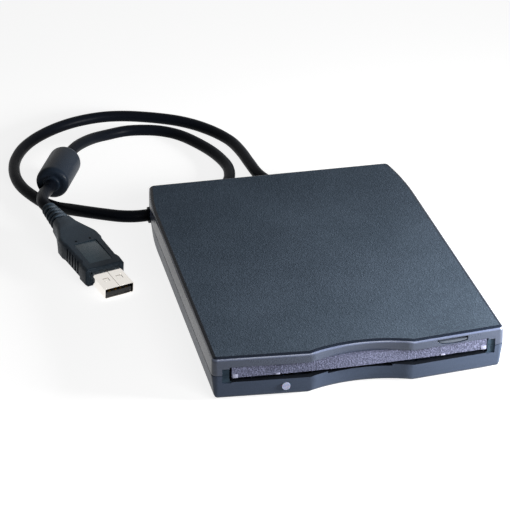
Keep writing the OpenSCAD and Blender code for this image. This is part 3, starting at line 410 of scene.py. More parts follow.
# Painted shade: near black, for the shadow in the parting groove and in the plug's pin
# marks.
PAINTED_SHADE = Finish(
    "Parting groove and pin marks, painted shade", "case_top", Surface.MOULDED,
    srgb(10, 12, 15), srgb(16, 18, 22),
    roughness=0.7, grain=0.4, depth=0.05, mottle=0.3, specular=0.02)
# Painted shade: the pockets' end walls are darker and tealer than the front, for the
# shade in the recess.
POCKET_PAINTED_SHADE = Finish(
    "Slot end pocket, darker with painted shade", "case_top", Surface.MOULDED,
    srgb(48, 62, 74), srgb(56, 70, 82),
    roughness=0.5, grain=0.5, depth=0.2, mottle=0.4, specular=0.05)
FLAP = Finish(
    "Dust flap, coarse moulding", "flap", Surface.MOULDED,
    srgb(66, 69, 86), srgb(116, 119, 144),
    roughness=0.5, grain=0.6, depth=0.7, mottle=0.9, specular=0.1)
FLAP_PLAIN = Finish(
    "Dust flap, polished pads", "flap", Surface.MOULDED,
    srgb(128, 130, 150), srgb(150, 152, 172),
    roughness=0.3, grain=0.4, depth=0.1, mottle=0.5, specular=0.3)
BUTTON = Finish(
    "Eject button, satin moulding", "button", Surface.MOULDED,
    srgb(62, 68, 78), srgb(88, 94, 104),
    roughness=0.4, grain=0.3, depth=0.25, mottle=0.4, specular=0.3)
JACKET = Finish(
    "Cable jacket, satin black", "cable", Surface.JACKET,
    srgb(11, 14, 20), srgb(20, 25, 34),
    roughness=0.4, grain=0.6, depth=0.15, mottle=0.4, specular=0.03)
PLUG_SEAM = Finish(
    "Plug shell, folded seam", "plug_metal", Surface.METAL,
    srgb(120, 106, 92), srgb(140, 124, 108),
    roughness=0.5, grain=0.25, depth=0.05, mottle=0.5, metallic=0.6)
CORE = Finish(
    "Ferrite sleeve, satin black", "cable", Surface.JACKET,
    srgb(20, 28, 38), srgb(36, 46, 60),
    roughness=0.38, grain=0.5, depth=0.22, mottle=0.4, specular=0.08)
PLUG = Finish(
    "Plug cover, matt moulding", "plug", Surface.MOULDED,
    srgb(36, 46, 56), srgb(62, 75, 86),
    roughness=0.44, grain=0.3, depth=0.35, mottle=0.6, specular=0.1)
PLUG_PANEL = Finish(
    "Plug panel, smooth moulding", "plug", Surface.MOULDED,
    srgb(60, 76, 86), srgb(74, 91, 101),
    roughness=0.3, grain=0.3, depth=0.1, mottle=0.4, specular=0.25)
PLUG_METAL = Finish(
    "Plug shell, bright plated steel", "plug_metal", Surface.METAL,
    srgb(252, 247, 240), srgb(255, 253, 249),
    roughness=0.12, grain=0.25, depth=0.03, mottle=0.5, metallic=1.0)
# Black moulding of the heads, arm and plug tongue; on the lamp board the black is painted
# shade, which keeps the view through the slot dark.
BLACK_AND_PAINTED_SHADE = Finish(
    "Black insert moulding and painted slot shade", "black_plastic", Surface.MOULDED,
    srgb(18, 18, 20), srgb(30, 30, 33),
    roughness=0.45, grain=0.3, depth=0.2, mottle=0.4)
RUBBER = Finish(
    "Foot rubber", "rubber", Surface.JACKET,
    srgb(26, 26, 28), srgb(44, 44, 46),
    roughness=0.75, grain=0.3, depth=0.5, mottle=0.6, specular=0.3)
STEEL = Finish(
    "Bright steel", "steel", Surface.METAL,
    srgb(196, 198, 202), srgb(222, 224, 228),
    roughness=0.3, grain=0.2, depth=0.1, mottle=0.5, metallic=1.0)
SHEET = Finish(
    "Zinc-plated sheet", "sheet", Surface.METAL,
    srgb(176, 180, 184), srgb(206, 208, 204),
    roughness=0.42, grain=0.6, depth=0.15, mottle=0.7, metallic=1.0)
BRONZE = Finish(
    "Sintered bronze", "bronze", Surface.METAL,
    srgb(176, 132, 70), srgb(204, 166, 104),
    roughness=0.5, grain=0.2, depth=0.4, mottle=0.6, metallic=1.0)
COPPER = Finish(
    "Enamelled copper", "copper", Surface.METAL,
    srgb(184, 98, 48), srgb(214, 134, 76),
    roughness=0.34, grain=0.12, depth=0.6, mottle=0.5, metallic=0.9)
ACETAL = Finish(
    "Natural acetal", "acetal", Surface.MOULDED,
    srgb(214, 206, 182), srgb(226, 220, 200),
    roughness=0.38, grain=0.6, depth=0.1, mottle=0.3)
CAST = Finish(
    "Die-cast aluminium", "carriage", Surface.METAL,
    srgb(190, 192, 194), srgb(212, 214, 214),
    roughness=0.48, grain=0.35, depth=0.4, mottle=0.6, metallic=1.0)
BOARD = Finish(
    "Solder mask", "board", Surface.BOARD,
    srgb(22, 92, 52), srgb(46, 122, 74),
    roughness=0.32, grain=0.5, depth=0.12, mottle=0.5, coat=0.3)
CHIP = Finish(
    "Black epoxy", "chip", Surface.MOULDED,
    srgb(24, 24, 26), srgb(46, 46, 48),
    roughness=0.48, grain=0.18, depth=0.3, mottle=0.5)
RIBBON = Finish(
    "Ribbon cable", "ribbon", Surface.METAL,
    srgb(176, 178, 180), srgb(150, 152, 156),
    roughness=0.5, grain=1.2, depth=0.3, mottle=0.7)
HEADER = Finish(
    "Connector nylon", "header", Surface.MOULDED,
    srgb(226, 220, 204), srgb(238, 234, 222),
    roughness=0.4, grain=0.5, depth=0.1, mottle=0.3)
GOLD = Finish(
    "Gold-plated contact", "gold", Surface.METAL,
    srgb(212, 168, 82), srgb(234, 200, 120),
    roughness=0.25, grain=0.2, depth=0.05, mottle=0.4, metallic=1.0)
LENS = Finish(
    "Lamp lens, milky", "lens", Surface.LENS,
    srgb(122, 124, 152), srgb(160, 162, 188),
    roughness=0.22, grain=0.9, depth=0.1, mottle=0.6, coat=0.4)

CARRIED_OVER: dict[Finish, tuple[str, ...]] = {
    RUBBER: ("rubber_feet",),
    STEEL: ("flap_spring", "eject_spring", "chassis_screws", "spindle_rotor",
            "spindle_hub", "guide_rod", "lead_screw", "stepper_motor", "case_screws"),
    SHEET: ("eject_slider", "disk_holder", "holder_rails", "drive_chassis",
            "chassis_rails"),
    BOARD: ("spindle_board", "interface_board", "controller_board"),
    COPPER: ("spindle_stator",),
    BRONZE: ("spindle_bearing",),
    CAST: ("head_carriage",),
    # led_board is black as painted shade in the slot's gap; the heads, the arm and the
    # plug tongue are black moulding.
    BLACK_AND_PAINTED_SHADE: ("led_board", "lower_head", "upper_head_arm", "upper_head", "plug_tongue"),
    ACETAL: ("trigger_lever",),
    CHIP: ("interface_chips", "controller_chips"),
    RIBBON: ("ribbon_cable",),
    HEADER: ("cable_header",),
    JACKET: ("cable_tail", "cable_grommet"),
    CASE_BOTTOM: ("cable_clamp",),
    GOLD: ("plug_contacts",),
}


# ------------------------------------------------------------------ mesh helpers


def settle(name: str, mesh: bmesh.types.BMesh, *finishes: Finish) -> bpy.types.Object:
    """Turn a bmesh into a linked object with its materials.

    Args:
        name: the object's name.
        mesh: the bmesh, which is freed.
        *finishes: its finishes, in the order of its faces' material numbers.

    Returns:
        The new object, at the origin.
    """
    data = bpy.data.meshes.new(name)
    mesh.to_mesh(data)
    mesh.free()
    made = bpy.data.objects.new(name, data)
    bpy.context.scene.collection.objects.link(made)
    for finish in finishes:
        made.data.materials.append(finish.material())
    return made


def smooth_by_angle(mesh: bmesh.types.BMesh, degrees: float) -> None:
    """Shade a bmesh smooth, with edges sharper than an angle kept sharp.

    Args:
        mesh: the bmesh.
        degrees: the angle between two faces at which their edge is kept sharp.
    """
    limit = math.radians(degrees)
    for face in mesh.faces:
        face.smooth = True
    for edge in mesh.edges:
        edge.smooth = len(edge.link_faces) == 2 and edge.calc_face_angle(0.0) < limit


def soften(mesh: bmesh.types.BMesh, edges: Sequence[bmesh.types.BMEdge], offset: float,
           segments: int = 2) -> list[bmesh.types.BMFace]:
    """Bevel edges by a width, without running past their neighbours.

    Args:
        mesh: the bmesh.
        edges: the edges that are broken.
        offset: how far the new faces reach to each side.
        segments: how many faces the round has.

    Returns:
        The new faces.
    """
    made = bmesh.ops.bevel(mesh, geom=edges, offset=offset, offset_type="OFFSET",
                           segments=segments, profile=0.5, affect="EDGES",
                           clamp_overlap=True, material=-1)
    return made["faces"]


def add_block(mesh: bmesh.types.BMesh, size: Point) -> list[bmesh.types.BMVert]:
    """Add a block about the origin.

    Args:
        mesh: the bmesh that takes it.
        size: its size along each axis.

    Returns:
        Its corners.
    """
    verts = bmesh.ops.create_cube(mesh, size=1.0)["verts"]
    bmesh.ops.scale(mesh, vec=size, verts=verts)
    return verts


@dataclass(frozen=True)
class Zone:
    """Faces of a piece that take a finish of their own.

    Attributes:
        facing: direction that the faces turn to.
        least: least cosine between a face's normal and that direction.
        most: greatest such cosine.
        low: low corner of the box that holds their middles.
        high: high corner of that box.
    """

    finish: Finish
    facing: Point = (0.0, 0.0, 1.0)
    least: float = -1.0
    most: float = 1.01
    low: Point = (0.0, -1.0, -1.0)
    high: Point = (1.0, 1.0, 1.0)

    def holds(self, face: bmesh.types.BMFace) -> bool:
        """Say whether a face turns the zone's way and lies in its box.

        Args:
            face: the face, whose X is taken without its sign.

        Returns:
            Whether the face belongs to the zone.
        """
        if not self.least <= face.normal.dot(Vector(self.facing)) <= self.most:
            return False
        x, y, z = face.calc_center_median()
        return all(low <= value <= high
                   for low, value, high in zip(self.low, (abs(x), y, z), self.high))


@dataclass
class Refined:
    """A CAD node's shape, merged, rounded a little along its edges and smoothed.

    Attributes:
        rounding: how far the edges are rounded; 0 leaves them.
        sharp: the least angle of an edge that is rounded, in degrees.
        parting: height of the groove between the two shells, where there is one.
    """

    node: str
    finish: Finish
    body: str
    rounding: float = 0.12 * MM
    sharp: float = 34.0
    segments: int = 2
    zones: tuple[Zone, ...] = ()
    parting: float | None = None

    groove: ClassVar[float] = 0.2 * MM
    groove_angle: ClassVar[float] = 60.0
    merged_within: ClassVar[float] = 0.002 * MM
    level_within: ClassVar[float] = 0.02 * MM
    flat_within: ClassVar[float] = 0.6
    smooth_within: ClassVar[float] = 50.0
    shortest_edge: ClassVar[float] = 0.03 * MM
    area_weight: ClassVar[int] = 80

    def edges_over(self, mesh: bmesh.types.BMesh,
                   degrees: float) -> list[bmesh.types.BMEdge]:
        """List the edges that are worth breaking.

        Args:
            mesh: the piece's bmesh.
            degrees: the least angle between the edge's two faces.

        Returns:
            The edges over that angle that aren't too short.
        """
        limit = math.radians(degrees)
        return [edge for edge in mesh.edges
                if len(edge.link_faces) == 2
                and edge.calc_face_angle(0.0) > limit
                and edge.calc_length() > self.shortest_edge]

    def cut_parting(self, mesh: bmesh.types.BMesh) -> None:
        """Break the edges at the parting height; the groove's faces take a near-black
        finish, painted shade.

        Args:
            mesh: the piece's bmesh.
        """
        edges = [edge for edge in self.edges_over(mesh, self.groove_angle)
                 if all(abs(vert.co.z - self.parting) < self.level_within
                        for vert in edge.verts)]
        # The groove's faces take the near-black finish: painted shade.
        for face in soften(mesh, edges, self.groove, segments=1):
            face.material_index = len(self.zones) + 1

    def build(self, nodes: Nodes) -> bpy.types.Object:
        """Copy the node, finish the copy and let it stand for the node.

        Args:
            nodes: the CAD nodes by name.

        Returns:
            The copy.
        """
        mesh = bmesh.new()
        mesh.from_mesh(nodes[self.node].data)
        bmesh.ops.remove_doubles(mesh, verts=mesh.verts, dist=self.merged_within)
        bmesh.ops.dissolve_limit(mesh, angle_limit=math.radians(self.flat_within),
                                 verts=mesh.verts, edges=mesh.edges)
        mesh.normal_update()
        for face in mesh.faces:
            for index, zone in enumerate(self.zones, start=1):
                if zone.holds(face):
                    face.material_index = index
        finishes = [self.finish, *(zone.finish for zone in self.zones)]
        # The parting groove's near-black finish is painted shade.
        if self.parting is not None:
            self.cut_parting(mesh)
            finishes.append(PAINTED_SHADE)
        if self.rounding > 0.0:
            soften(mesh, self.edges_over(mesh, self.sharp), self.rounding, self.segments)
        smooth_by_angle(mesh, self.smooth_within)
        made = settle(f"{self.node}_skin", mesh, *finishes)
        even = made.modifiers.new("Even shading", "WEIGHTED_NORMAL")
        even.keep_sharp = True
        even.weight = self.area_weight
        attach(made, self.body)
        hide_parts(self.node)
        return made


def carry_over(nodes: Nodes) -> None:
    """Give each CAD node that keeps its shape its finish.

    Args:
        nodes: the CAD nodes by name.
    """
    for finish, names in CARRIED_OVER.items():
        for name in names:
            slots = nodes[name].data.materials
            slots.clear()
            slots.append(finish.material())


# ------------------------------------------------------------------------ cable


def smooth_route(points: Sequence[Point | Vector], steps: int) -> list[Vector]:
    """Lay a Catmull-Rom curve through a route's points.

    Args:
        points: the route's points.
        steps: how many parts each span is cut into.

    Returns:
        The finer route, through every given point.
    """
    rest = [Vector(point) for point in points]
    fine: list[Vector] = []
    for index in range(len(rest) - 1):
        before = rest[max(index - 1, 0)]
        start, end = rest[index], rest[index + 1]
        after = rest[min(index + 2, len(rest) - 1)]
        for step in range(steps):
            t = step / steps
            fine.append(0.5 * (2.0 * start + (end - before) * t
                               + (2.0 * before - 5.0 * start + 4.0 * end - after) * t * t
                               + (3.0 * start - before - 3.0 * end + after) * t ** 3))
    fine.append(rest[-1])
    return fine


def route_length(route: Sequence[Vector]) -> float:
    """Add up the lengths of a route's spans."""
    return sum((b - a).length for a, b in zip(route, route[1:]))


@dataclass
class Cable:
    """The fixed cable, its ferrite core and the short stretch to the plug."""

    diameter: float = 4.8 * MM
    lie: float = 2.42 * MM
    outlet: Point = (-51.52 * MM, 60.0 * MM, 9.3 * MM)
    core_face: Point = (-84.5 * MM, 100.8 * MM, 6.85 * MM)
    core_axis: Vector = field(
        default_factory=lambda: Vector((0.377, 0.925, 0.0)).normalized())
    core_length: float = 25.0 * MM
    core_profile: tuple[tuple[float, float], ...] = (
        (0.0, 0.0), (3.0, 0.0), (3.25, 0.1), (3.4, 0.4), (3.45, 0.75), (3.7, 0.9),
        (4.6, 0.75), (5.3, 0.85), (6.0, 1.15), (6.5, 1.65), (6.74, 2.3), (6.8, 3.2))
    core_steps: int = 56
    core_sharp: float = 50.0
    core_merge: float = 0.001 * MM
    lead: float = 5.0 * MM
    span_steps: int = 6
    roundness: int = 6

    def route(self, relief: Vector, along: Vector) -> list[Vector]:
        """List the route from the case, through the core, to the plug's relief.

        Args:
            relief: where the cable enters the plug's relief.
            along: the relief's direction, away from the plug.

        Returns:
            The route's points.
        """
        x, y, z = self.outlet
        down = [(x, y, z), (x - self.lead, y, z)] + [
            tuple(v * MM for v in p) for p in (
                (-62, 61.8, 9.1), (-67.5, 66, 8.4), (-73.5, 71.5, 7.4), (-79, 77.8, 6),
                (-84, 85.5, 3.8), (-88.5, 93.5, 2.6), (-92.3, 101.5, 2.5))]
        lying = [(a * MM, b * MM, self.lie) for a, b in (
            (-95.3, 110), (-96.8, 119.5), (-96.4, 130), (-94.2, 139.5), (-90, 149),
            (-83.8, 157.5), (-75.5, 165), (-66.5, 170.3), (-58, 173), (-50, 173.8),
            (-42, 172.6), (-34.5, 170), (-27, 166.5), (-19.8, 162), (-13, 155.5),
            (-7, 147), (-2.2, 136.5), (0, 125), (1, 113), (2.2, 101.5), (5.2, 92.5),
            (7.5, 84.5), (3.5, 77), (-4.5, 75.2), (-12.5, 77.8), (-16, 85),
            (-13.2, 93.5), (-10, 101.5), (-8.8, 112), (-11.5, 125.5), (-16.8, 138),
            (-22.7, 147.5), (-29.6, 153.3), (-37, 156), (-44.8, 156.6))]
        rising = [tuple(v * MM for v in p) for p in (
            (-53, 153.2, 3), (-60, 148, 4.3), (-66, 140.8, 5.8), (-70.2, 134.5, 6.6))]
        face = Vector(self.core_face)
        rear = face + self.core_axis * self.core_length
        through = [rear + self.core_axis * self.lead, rear,
                   face + self.core_axis * self.core_length / 2.0, face]
        tip = [face - self.core_axis * self.lead,
               (-88.3 * MM, 90.5 * MM, 8.5 * MM), (-90 * MM, 84 * MM, 9.8 * MM),
               relief + along * self.lead, relief]
        return smooth_route(down + lying + rising + through + tip, self.span_steps)

    def strand(self, name: str, route: list[Vector]) -> bpy.types.Object:
        """Make the cable as a round curve.

        Args:
            name: the object's name.
            route: the points that it follows.

        Returns:
            The curve object.
        """
        data = bpy.data.curves.new(name, "CURVE")
        data.dimensions = "3D"
        data.bevel_depth = self.diameter / 2.0
        data.bevel_resolution = self.roundness
        data.use_fill_caps = True
        spline = data.splines.new("POLY")
        spline.points.add(len(route) - 1)
        for point, place in zip(spline.points, route):
            point.co = (*place, 1.0)
        spline.use_smooth = True
        data.materials.append(JACKET.material())
        made = bpy.data.objects.new(name, data)
        bpy.context.scene.collection.objects.link(made)
        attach(made, "drive")
        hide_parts("usb_cable", "usb_cable_end")
        return made

    def core(self) -> bpy.types.Object:
        """Spin the ferrite core's sleeve, with a collar round each cable end.

        Returns:
            The sleeve.
        """
        half = [(x * MM, y * MM) for x, y in self.core_profile]
        ring = half + [(x, self.core_length - y) for x, y in reversed(half)]
        mesh = bmesh.new()
        verts = [mesh.verts.new((x, y, 0.0)) for x, y in ring]
        edges = [mesh.edges.new(pair) for pair in zip(verts, verts[1:])]
        bmesh.ops.spin(mesh, geom=verts + edges, cent=(0, 0, 0), axis=(0, 1, 0),
                       angle=math.tau, steps=self.core_steps, use_merge=True)
        bmesh.ops.remove_doubles(mesh, verts=mesh.verts, dist=self.core_merge)
        bmesh.ops.recalc_face_normals(mesh, faces=mesh.faces)
        turn = math.atan2(self.core_axis.y, self.core_axis.x) - math.pi / 2.0
        place = Matrix.Translation(self.core_face) @ Matrix.Rotation(turn, 4, "Z")
        bmesh.ops.transform(mesh, matrix=place, verts=mesh.verts)
        smooth_by_angle(mesh, self.core_sharp)
        made = settle("ferrite_sleeve", mesh, CORE)
        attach(made, "drive")
        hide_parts("ferrite_core")
        return made


@dataclass
class Plug:
    """The flat plug: cover, ribbed relief and metal shell, in its tilted place."""

    at: Point = (-74.2 * MM, 24.6 * MM, 4.1 * MM)
    turn: float = 17.0
    tilt: float = 6.5
    cover_length: float = 38.0 * MM
    cover_half: float = 4.0 * MM
    relief_length: float = 13.0 * MM
    shell_length: float = 12.0 * MM
    shell_top: float = 2.25 * MM
    panel_size: Point = (9.0 * MM, 14.1 * MM, 0.14 * MM)
    panel_y: float = 10.75 * MM
    panel_depth: float = 0.29 * MM
    panel_corner: float = 0.05 * MM
    dimple_at: tuple[float, float] = (2.95 * MM, 19.5 * MM)
    dimple_radius: float = 0.52 * MM
    dimple_inner: float = 0.46 * MM
    dimple_height: float = 0.12 * MM
    dimple_depth: float = 0.03 * MM
    seam_width: float = 0.12 * MM
    seam_height: float = 0.08 * MM
    seam_depth: float = 0.05 * MM
    seam_short: float = 0.1 * MM
    seam_corner: float = 0.01 * MM
    window_at: tuple[float, float] = (2.7 * MM, -6.5 * MM)
    leaf_side: float = 1.98 * MM
    leaf_shift: float = 0.06 * MM
    leaf_depth: float = 0.18 * MM
    leaf_thickness: float = 0.2 * MM
    leaf_corner: float = 0.03 * MM
    leaf_lean: float = 0.8
    sharp: float = 40.0

    def place(self) -> Matrix:
        """Give the matrix from the plug's own axes to the frame."""
        return (Matrix.Translation(self.at)
                @ Matrix.Rotation(math.radians(self.turn), 4, "Z")
                @ Matrix.Rotation(math.radians(self.tilt), 4, "X"))

    def relief_end(self) -> tuple[Vector, Vector]:
        """Find where the cable meets the plug.

        Returns:
            The point where the cable enters and the direction that it comes from.
        """
        place = self.place()
        end = place @ Vector((0.0, self.cover_length + self.relief_length, 0.0))
        along = (place.to_3x3() @ Vector((0.0, 1.0, 0.0))).normalized()
        return end, along

    def plate(self, mesh: bmesh.types.BMesh, middle: Point, size: Point,
              corner: float, lean: float = 0.0) -> None:
        """Add a thin plate in the plug's own axes.

        Args:
            mesh: the bmesh that takes it.
            middle: its middle.
            size: its width, length and thickness.
            corner: how far its edges are rounded.
            lean: how many degrees its rear end is turned down.
        """
        verts = add_block(mesh, size)
        bmesh.ops.rotate(mesh, verts=verts, cent=(0.0, 0.0, 0.0),
                         matrix=Matrix.Rotation(math.radians(-lean), 3, "X"))
        bmesh.ops.translate(mesh, vec=middle, verts=verts)
        soften(mesh, list({edge for vert in verts for edge in vert.link_edges}), corner)

    def fitting(self, name: str, mesh: bmesh.types.BMesh,
                finish: Finish) -> bpy.types.Object:
        """Move a mesh from the plug's axes to its place and ride it on the drive.

        Args:
            name: the piece's name.
            mesh: its bmesh, in the plug's own axes.
            finish: the finish that it gets.

        Returns:
            The piece.
        """
        bmesh.ops.transform(mesh, matrix=self.place(), verts=mesh.verts)
        smooth_by_angle(mesh, self.sharp)
        made = settle(name, mesh, finish)
        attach(made, "drive")
        return made

    def panel(self) -> bpy.types.Object:
        """Lay the bare lighter panel into the recess of the cover.

        Returns:
            The panel.
        """
        mesh = bmesh.new()
        self.plate(mesh, (0.0, self.panel_y, self.cover_half - self.panel_depth),
                   self.panel_size, self.panel_corner)
        return self.fitting("plug_panel", mesh, PLUG_PANEL)

    def dimples(self) -> bpy.types.Object:
        """Set the two small dimples behind the panel, near black with painted shade.

        Returns:
            Both dimples as one piece.
        """
        mesh = bmesh.new()
        x, y = self.dimple_at
        for side in (-1.0, 1.0):
            verts = bmesh.ops.create_cone(
                mesh, cap_ends=True, segments=20, radius1=self.dimple_radius,
                radius2=self.dimple_inner, depth=self.dimple_height)["verts"]
            bmesh.ops.translate(mesh, verts=verts, vec=(
                side * x, y, self.cover_half - self.dimple_depth))
        # The dimples take the near-black finish: painted shade of the pin marks.
        return self.fitting("plug_dimples", mesh, PAINTED_SHADE)

    def seam(self) -> bpy.types.Object:
        """Draw the folded seam along the middle of the metal shell.

        Returns:
            The seam.
        """
        mesh = bmesh.new()
        self.plate(mesh,
                   (0.0, -self.shell_length / 2.0, self.shell_top - self.seam_depth),
                   (self.seam_width, self.shell_length - self.seam_short,
                    self.seam_height), self.seam_corner)
        return self.fitting("plug_seam", mesh, PLUG_SEAM)

    def latches(self) -> bpy.types.Object:
        """Close the shell's windows with sprung leaves that lie a little lower.

        Returns:
            The four leaves as one piece.
        """
        mesh = bmesh.new()
        x, y = self.window_at
        for side in (-1.0, 1.0):
            for face in (-1.0, 1.0):
                self.plate(mesh,
                           (side * x - self.leaf_shift, y - self.leaf_shift,
                            face * (self.shell_top - self.leaf_depth)),
                           (self.leaf_side, self.leaf_side, self.leaf_thickness),
                           self.leaf_corner, face * self.leaf_lean)
        return self.fitting("plug_latches", mesh, PLUG_METAL)

    def build(self, nodes: Nodes) -> list[bpy.types.Object]:
        """Dress the plug's pieces.

        Args:
            nodes: the CAD nodes by name.

        Returns:
            The plug's pieces.
        """
        return [
            Refined("plug_cover", PLUG, "drive", rounding=0.0).build(nodes),
            Refined("plug_relief", PLUG, "drive").build(nodes),
            Refined("plug_shell", PLUG_METAL, "drive", rounding=0.06 * MM).build(nodes),
            self.panel(), self.dimples(), self.seam(), self.latches(),
        ]


# ---------------------------------------------------------------------- housing


@dataclass
class Housing:
    """The two shells, the flap with its pads, the button and the lamp."""

    seam: float = 10.2 * MM
    top_from: float = 16.5 * MM
    rim_from: float = 15.8 * MM
    rim_bands: tuple[float, float, float] = (0.985, 0.75, 0.4)
    pocket_low: Point = (45.2 * MM, -67.6 * MM, 7.0 * MM)
    pocket_high: Point = (48.8 * MM, -66.0 * MM, 13.1 * MM)
    slot_low: Point = (0.0, -1.0, 6.5 * MM)
    slot_high: Point = (45.9 * MM, -58.0 * MM, 8.0 * MM)

    def pocket(self) -> Zone:
        """Pick the end walls of the slot's pockets, which face the front and take a
        darker teal finish, painted shade of the recess.
        """
        return Zone(POCKET_PAINTED_SHADE, (0.0, -1.0, 0.0), 0.9, low=self.pocket_low,
                    high=self.pocket_high)

    def upper_zones(self) -> tuple[Zone, ...]:
        """Split the upper shell by how its faces turn up.

        Returns:
            The top, the two bands of its rounded rim, a painted dark reflection above a
            painted highlight, and the pockets' walls, darker with painted shade.
        """
        top, rim = (0.0, -1.0, self.top_from), (0.0, -1.0, self.rim_from)
        level, shoulder, edge = self.rim_bands
        return (
            # The rim's two bands carry a painted dark reflection above a painted
            # highlight; the pockets' walls carry painted shade.
            Zone(CASE_TOP, least=level, low=top),
            Zone(RIM_PAINTED_DARK_REFLECTION, least=shoulder, most=level, low=top),
            Zone(RIM_PAINTED_HIGHLIGHT, least=edge, most=shoulder, low=rim),
            self.pocket(),
        )

    def lower_zones(self) -> tuple[Zone, ...]:
        """Split the lower shell.

        Returns:
            The slot's floor and the pockets.
        """
        # The slot's floor takes the near-black finish: painted shade.
        floor = Zone(SLOT_PAINTED_SHADE, least=0.7, low=self.slot_low, high=self.slot_high)
        return (floor, self.pocket())

    def build(self, nodes: Nodes) -> list[bpy.types.Object]:
        """Dress the pieces of the case.

        Args:
            nodes: the CAD nodes by name.

        Returns:
            The pieces of the case.
        """
        pieces = (
            Refined("upper_shell", CASE_FRONT, "drive", rounding=0.1 * MM, sharp=40.0,
                    zones=self.upper_zones(), parting=self.seam),
            Refined("lower_shell", CASE_BOTTOM, "drive", rounding=0.1 * MM, sharp=40.0,
                    zones=self.lower_zones(), parting=self.seam),
            Refined("slot_flap", FLAP, "flap", rounding=0.08 * MM),
            Refined("eject_button", BUTTON, "slider", rounding=0.15 * MM),
            Refined("led_lens", LENS, "drive", rounding=0.7 * MM, segments=4),
        )
        return [piece.build(nodes) for piece in pieces] + [FlapPads().build()]


@dataclass
class FlapPads:
    """The polished pads at the lower edge of the dust flap."""

    corner_x: float = 44.1 * MM
    corner_size: tuple[float, float] = (1.9 * MM, 1.4 * MM)
    tab_x: float = 29.3 * MM
    tab_size: tuple[float, float] = (1.6 * MM, 0.55 * MM)
    thickness: float = 0.5 * MM
    face_y: float = -69.1 * MM
    sunk: float = 0.12 * MM
    edge_z: float = 8.85 * MM
    lift: float = 0.02 * MM
    lean: float = 0.12 * MM
    half: float = 45.2 * MM
    sag: float = 0.6 * MM
    corner: float = 0.08 * MM
    sharp: float = 40.0

    def pad(self, mesh: bmesh.types.BMesh, x: float, size: tuple[float, float]) -> None:
        """Add one pad that leans out towards its lower edge.

        Args:
            mesh: the bmesh that takes it.
            x: its middle along the flap.
            size: its width and height.
        """
        width, height = size
        bowed = self.sag * (x / self.half) ** 2
        low = self.edge_z + bowed + self.lift
        face = self.face_y + bowed
        verts = add_block(mesh, (width, self.thickness, height))
        bmesh.ops.translate(mesh, vec=(x, face + self.sunk, low + height / 2.0),
                            verts=verts)
        foot = [vert for vert in verts
                if vert.co.z < low + height / 2.0 and vert.co.y < face]
        bmesh.ops.translate(mesh, vec=(0.0, -self.lean, 0.0), verts=foot)

    def build(self) -> bpy.types.Object:
        """Make the four pads as one piece on the flap.

        Returns:
            The pads.
        """
        mesh = bmesh.new()
        for side in (-1.0, 1.0):
            self.pad(mesh, side * self.corner_x, self.corner_size)
            self.pad(mesh, side * self.tab_x, self.tab_size)
        soften(mesh, mesh.edges[:], self.corner)
        smooth_by_angle(mesh, self.sharp)
        made = settle("flap_pads", mesh, FLAP_PLAIN)
        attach(made, "flap")
        return made


# ------------------------------------------------------------------------ stage


def look(made: bpy.types.Object, at: Point, aim: Point) -> None:
    """Link a camera or a light into the scene and point it.

    Args:
        made: the object.
        at: where it stands.
        aim: what it looks at.
    """
    made.location = at
    gaze = Vector(aim) - Vector(at)
    made.rotation_euler = gaze.to_track_quat("-Z", "Y").to_euler()
    bpy.context.scene.collection.objects.link(made)


@dataclass(frozen=True)
class Lamp:
    """A soft area light that the camera doesn't see."""

    name: str
    at: Point
    aim: Point
    size: tuple[float, float]
    watts: float
    mirrored: bool = True

    def build(self) -> None:
        """Make the light and point it at its aim."""
        data = bpy.data.lights.new(self.name, "AREA")
        data.shape = "RECTANGLE"
        data.size, data.size_y = self.size
        data.energy = self.watts
        made = bpy.data.objects.new(self.name, data)
        made.visible_camera = False
        made.visible_glossy = self.mirrored
        look(made, self.at, self.aim)


LAMPS = (
    Lamp("side softbox", at=(0.21, -0.115, 0.075), aim=(0.0, -0.05, 0.01),
         size=(0.12, 0.07), watts=2.7),
    Lamp("front softbox", at=(0.03, -0.27, 0.17), aim=(0.0, -0.03, 0.01),
         size=(0.16, 0.1), watts=0.4),
    Lamp("low rear fill", at=(0.25, 0.6, 0.045), aim=(0.0, 0.07, 0.01),
         size=(0.3, 0.06), watts=1.0, mirrored=False),
)


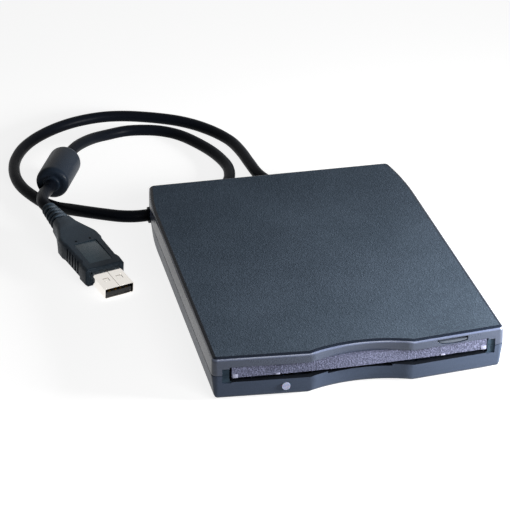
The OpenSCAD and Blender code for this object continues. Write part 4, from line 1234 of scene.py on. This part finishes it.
@dataclass
class Studio:
    """Camera, floor, world and lights."""

    eye: Point = (-0.1674, -0.6499, 0.3677)
    aim: Point = (-0.01774, 0.01836, 0.009)
    lens: float = 144.15
    sensor: float = 36.0
    clip: tuple[float, float] = (0.01, 20.0)
    floor_half: float = 6.0
    floor_z: float = -0.4 * MM
    floor_shade: Colour = (0.35, 0.35, 0.35)
    floor_glow: float = 0.85
    sky: Colour = (0.9, 0.95, 1.0)
    sky_strength: float = 0.02

    def camera(self) -> None:
        """Make the camera at the photograph's viewing angle."""
        data = bpy.data.cameras.new("camera")
        data.lens = self.lens
        data.sensor_width = self.sensor
        data.sensor_fit = "HORIZONTAL"
        data.clip_start, data.clip_end = self.clip
        made = bpy.data.objects.new("camera", data)
        look(made, self.eye, self.aim)
        bpy.context.scene.camera = made

    def seen(self, sketch: NodeSketch) -> Any:
        """Tell rays that look at the background from rays that light the object.

        Args:
            sketch: helper for the node tree that asks.

        Returns:
            A socket that is 1 for camera, glossy and transmission rays.
        """
        path = sketch.add("ShaderNodeLightPath").outputs
        shiny = sketch.math("MAXIMUM", path["Is Camera Ray"], path["Is Glossy Ray"])
        return sketch.math("MAXIMUM", shiny, path["Is Transmission Ray"])

    def floor_material(self) -> bpy.types.Material:
        """Mix a matt floor, which takes the shadow, with a pale glow.

        Returns:
            The floor's material.
        """
        material = bpy.data.materials.new("Floor")
        material.use_nodes = True
        material.node_tree.nodes.clear()
        sketch = NodeSketch(material.node_tree)
        output = sketch.add("ShaderNodeOutputMaterial")
        matt = sketch.add("ShaderNodeBsdfDiffuse")
        matt.inputs["Color"].default_value = (*self.floor_shade, 1.0)
        glow = sketch.add("ShaderNodeEmission")
        sketch.link(sketch.math("MULTIPLY", self.seen(sketch), self.floor_glow),
                    glow.inputs["Strength"])
        both = sketch.add("ShaderNodeAddShader")
        sketch.link(matt.outputs["BSDF"], both.inputs[0])
        sketch.link(glow.outputs["Emission"], both.inputs[1])
        sketch.link(both.outputs["Shader"], output.inputs["Surface"])
        return material

    def floor(self) -> None:
        """Lay a wide pale floor that shows white and keeps the shadow."""
        mesh = bmesh.new()
        bmesh.ops.create_grid(mesh, x_segments=8, y_segments=8, size=self.floor_half)
        data = bpy.data.meshes.new("floor")
        mesh.to_mesh(data)
        mesh.free()
        data.materials.append(self.floor_material())
        made = bpy.data.objects.new("floor", data)
        made.location.z = self.floor_z
        bpy.context.scene.collection.objects.link(made)

    def world(self) -> None:
        """Set a plain world that is white to the camera and dim to the object."""
        world = bpy.data.worlds.new("studio")
        bpy.context.scene.world = world
        world.use_nodes = True
        world.node_tree.nodes.clear()
        sketch = NodeSketch(world.node_tree)
        output = sketch.add("ShaderNodeOutputWorld")
        plain = sketch.add("ShaderNodeBackground")
        plain.inputs["Color"].default_value = (*self.sky, 1.0)
        plain.inputs["Strength"].default_value = self.sky_strength
        white = sketch.add("ShaderNodeBackground")
        white.inputs["Strength"].default_value = 1.0
        mix = sketch.add("ShaderNodeMixShader")
        sketch.link(self.seen(sketch), mix.inputs["Fac"])
        sketch.link(plain.outputs["Background"], mix.inputs[1])
        sketch.link(white.outputs["Background"], mix.inputs[2])
        sketch.link(mix.outputs["Shader"], output.inputs["Surface"])

    def build(self) -> None:
        """Lay the floor, set the world and place the lights."""
        self.floor()
        self.world()
        for lamp in LAMPS:
            lamp.build()


def main() -> None:
    """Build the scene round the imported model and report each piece."""
    logging.basicConfig(level=logging.INFO, format="%(message)s")
    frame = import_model()
    nodes = frame["nodes"]
    bpy.context.scene.view_settings.view_transform = "Standard"
    studio = Studio()
    studio.camera()
    plug = Plug()
    cable = Cable()
    route = cable.route(*plug.relief_end())
    strand = cable.strand("cable_strand", route)
    fittings = [cable.core(), *plug.build(nodes)]
    carry_over(nodes)
    for piece in (strand, *fittings, *Housing().build(nodes)):
        LOG.info("built %s", piece.name)
    LOG.info("cable %.4f m", route_length(route))
    studio.build()


if __name__ == "__main__":
    main()
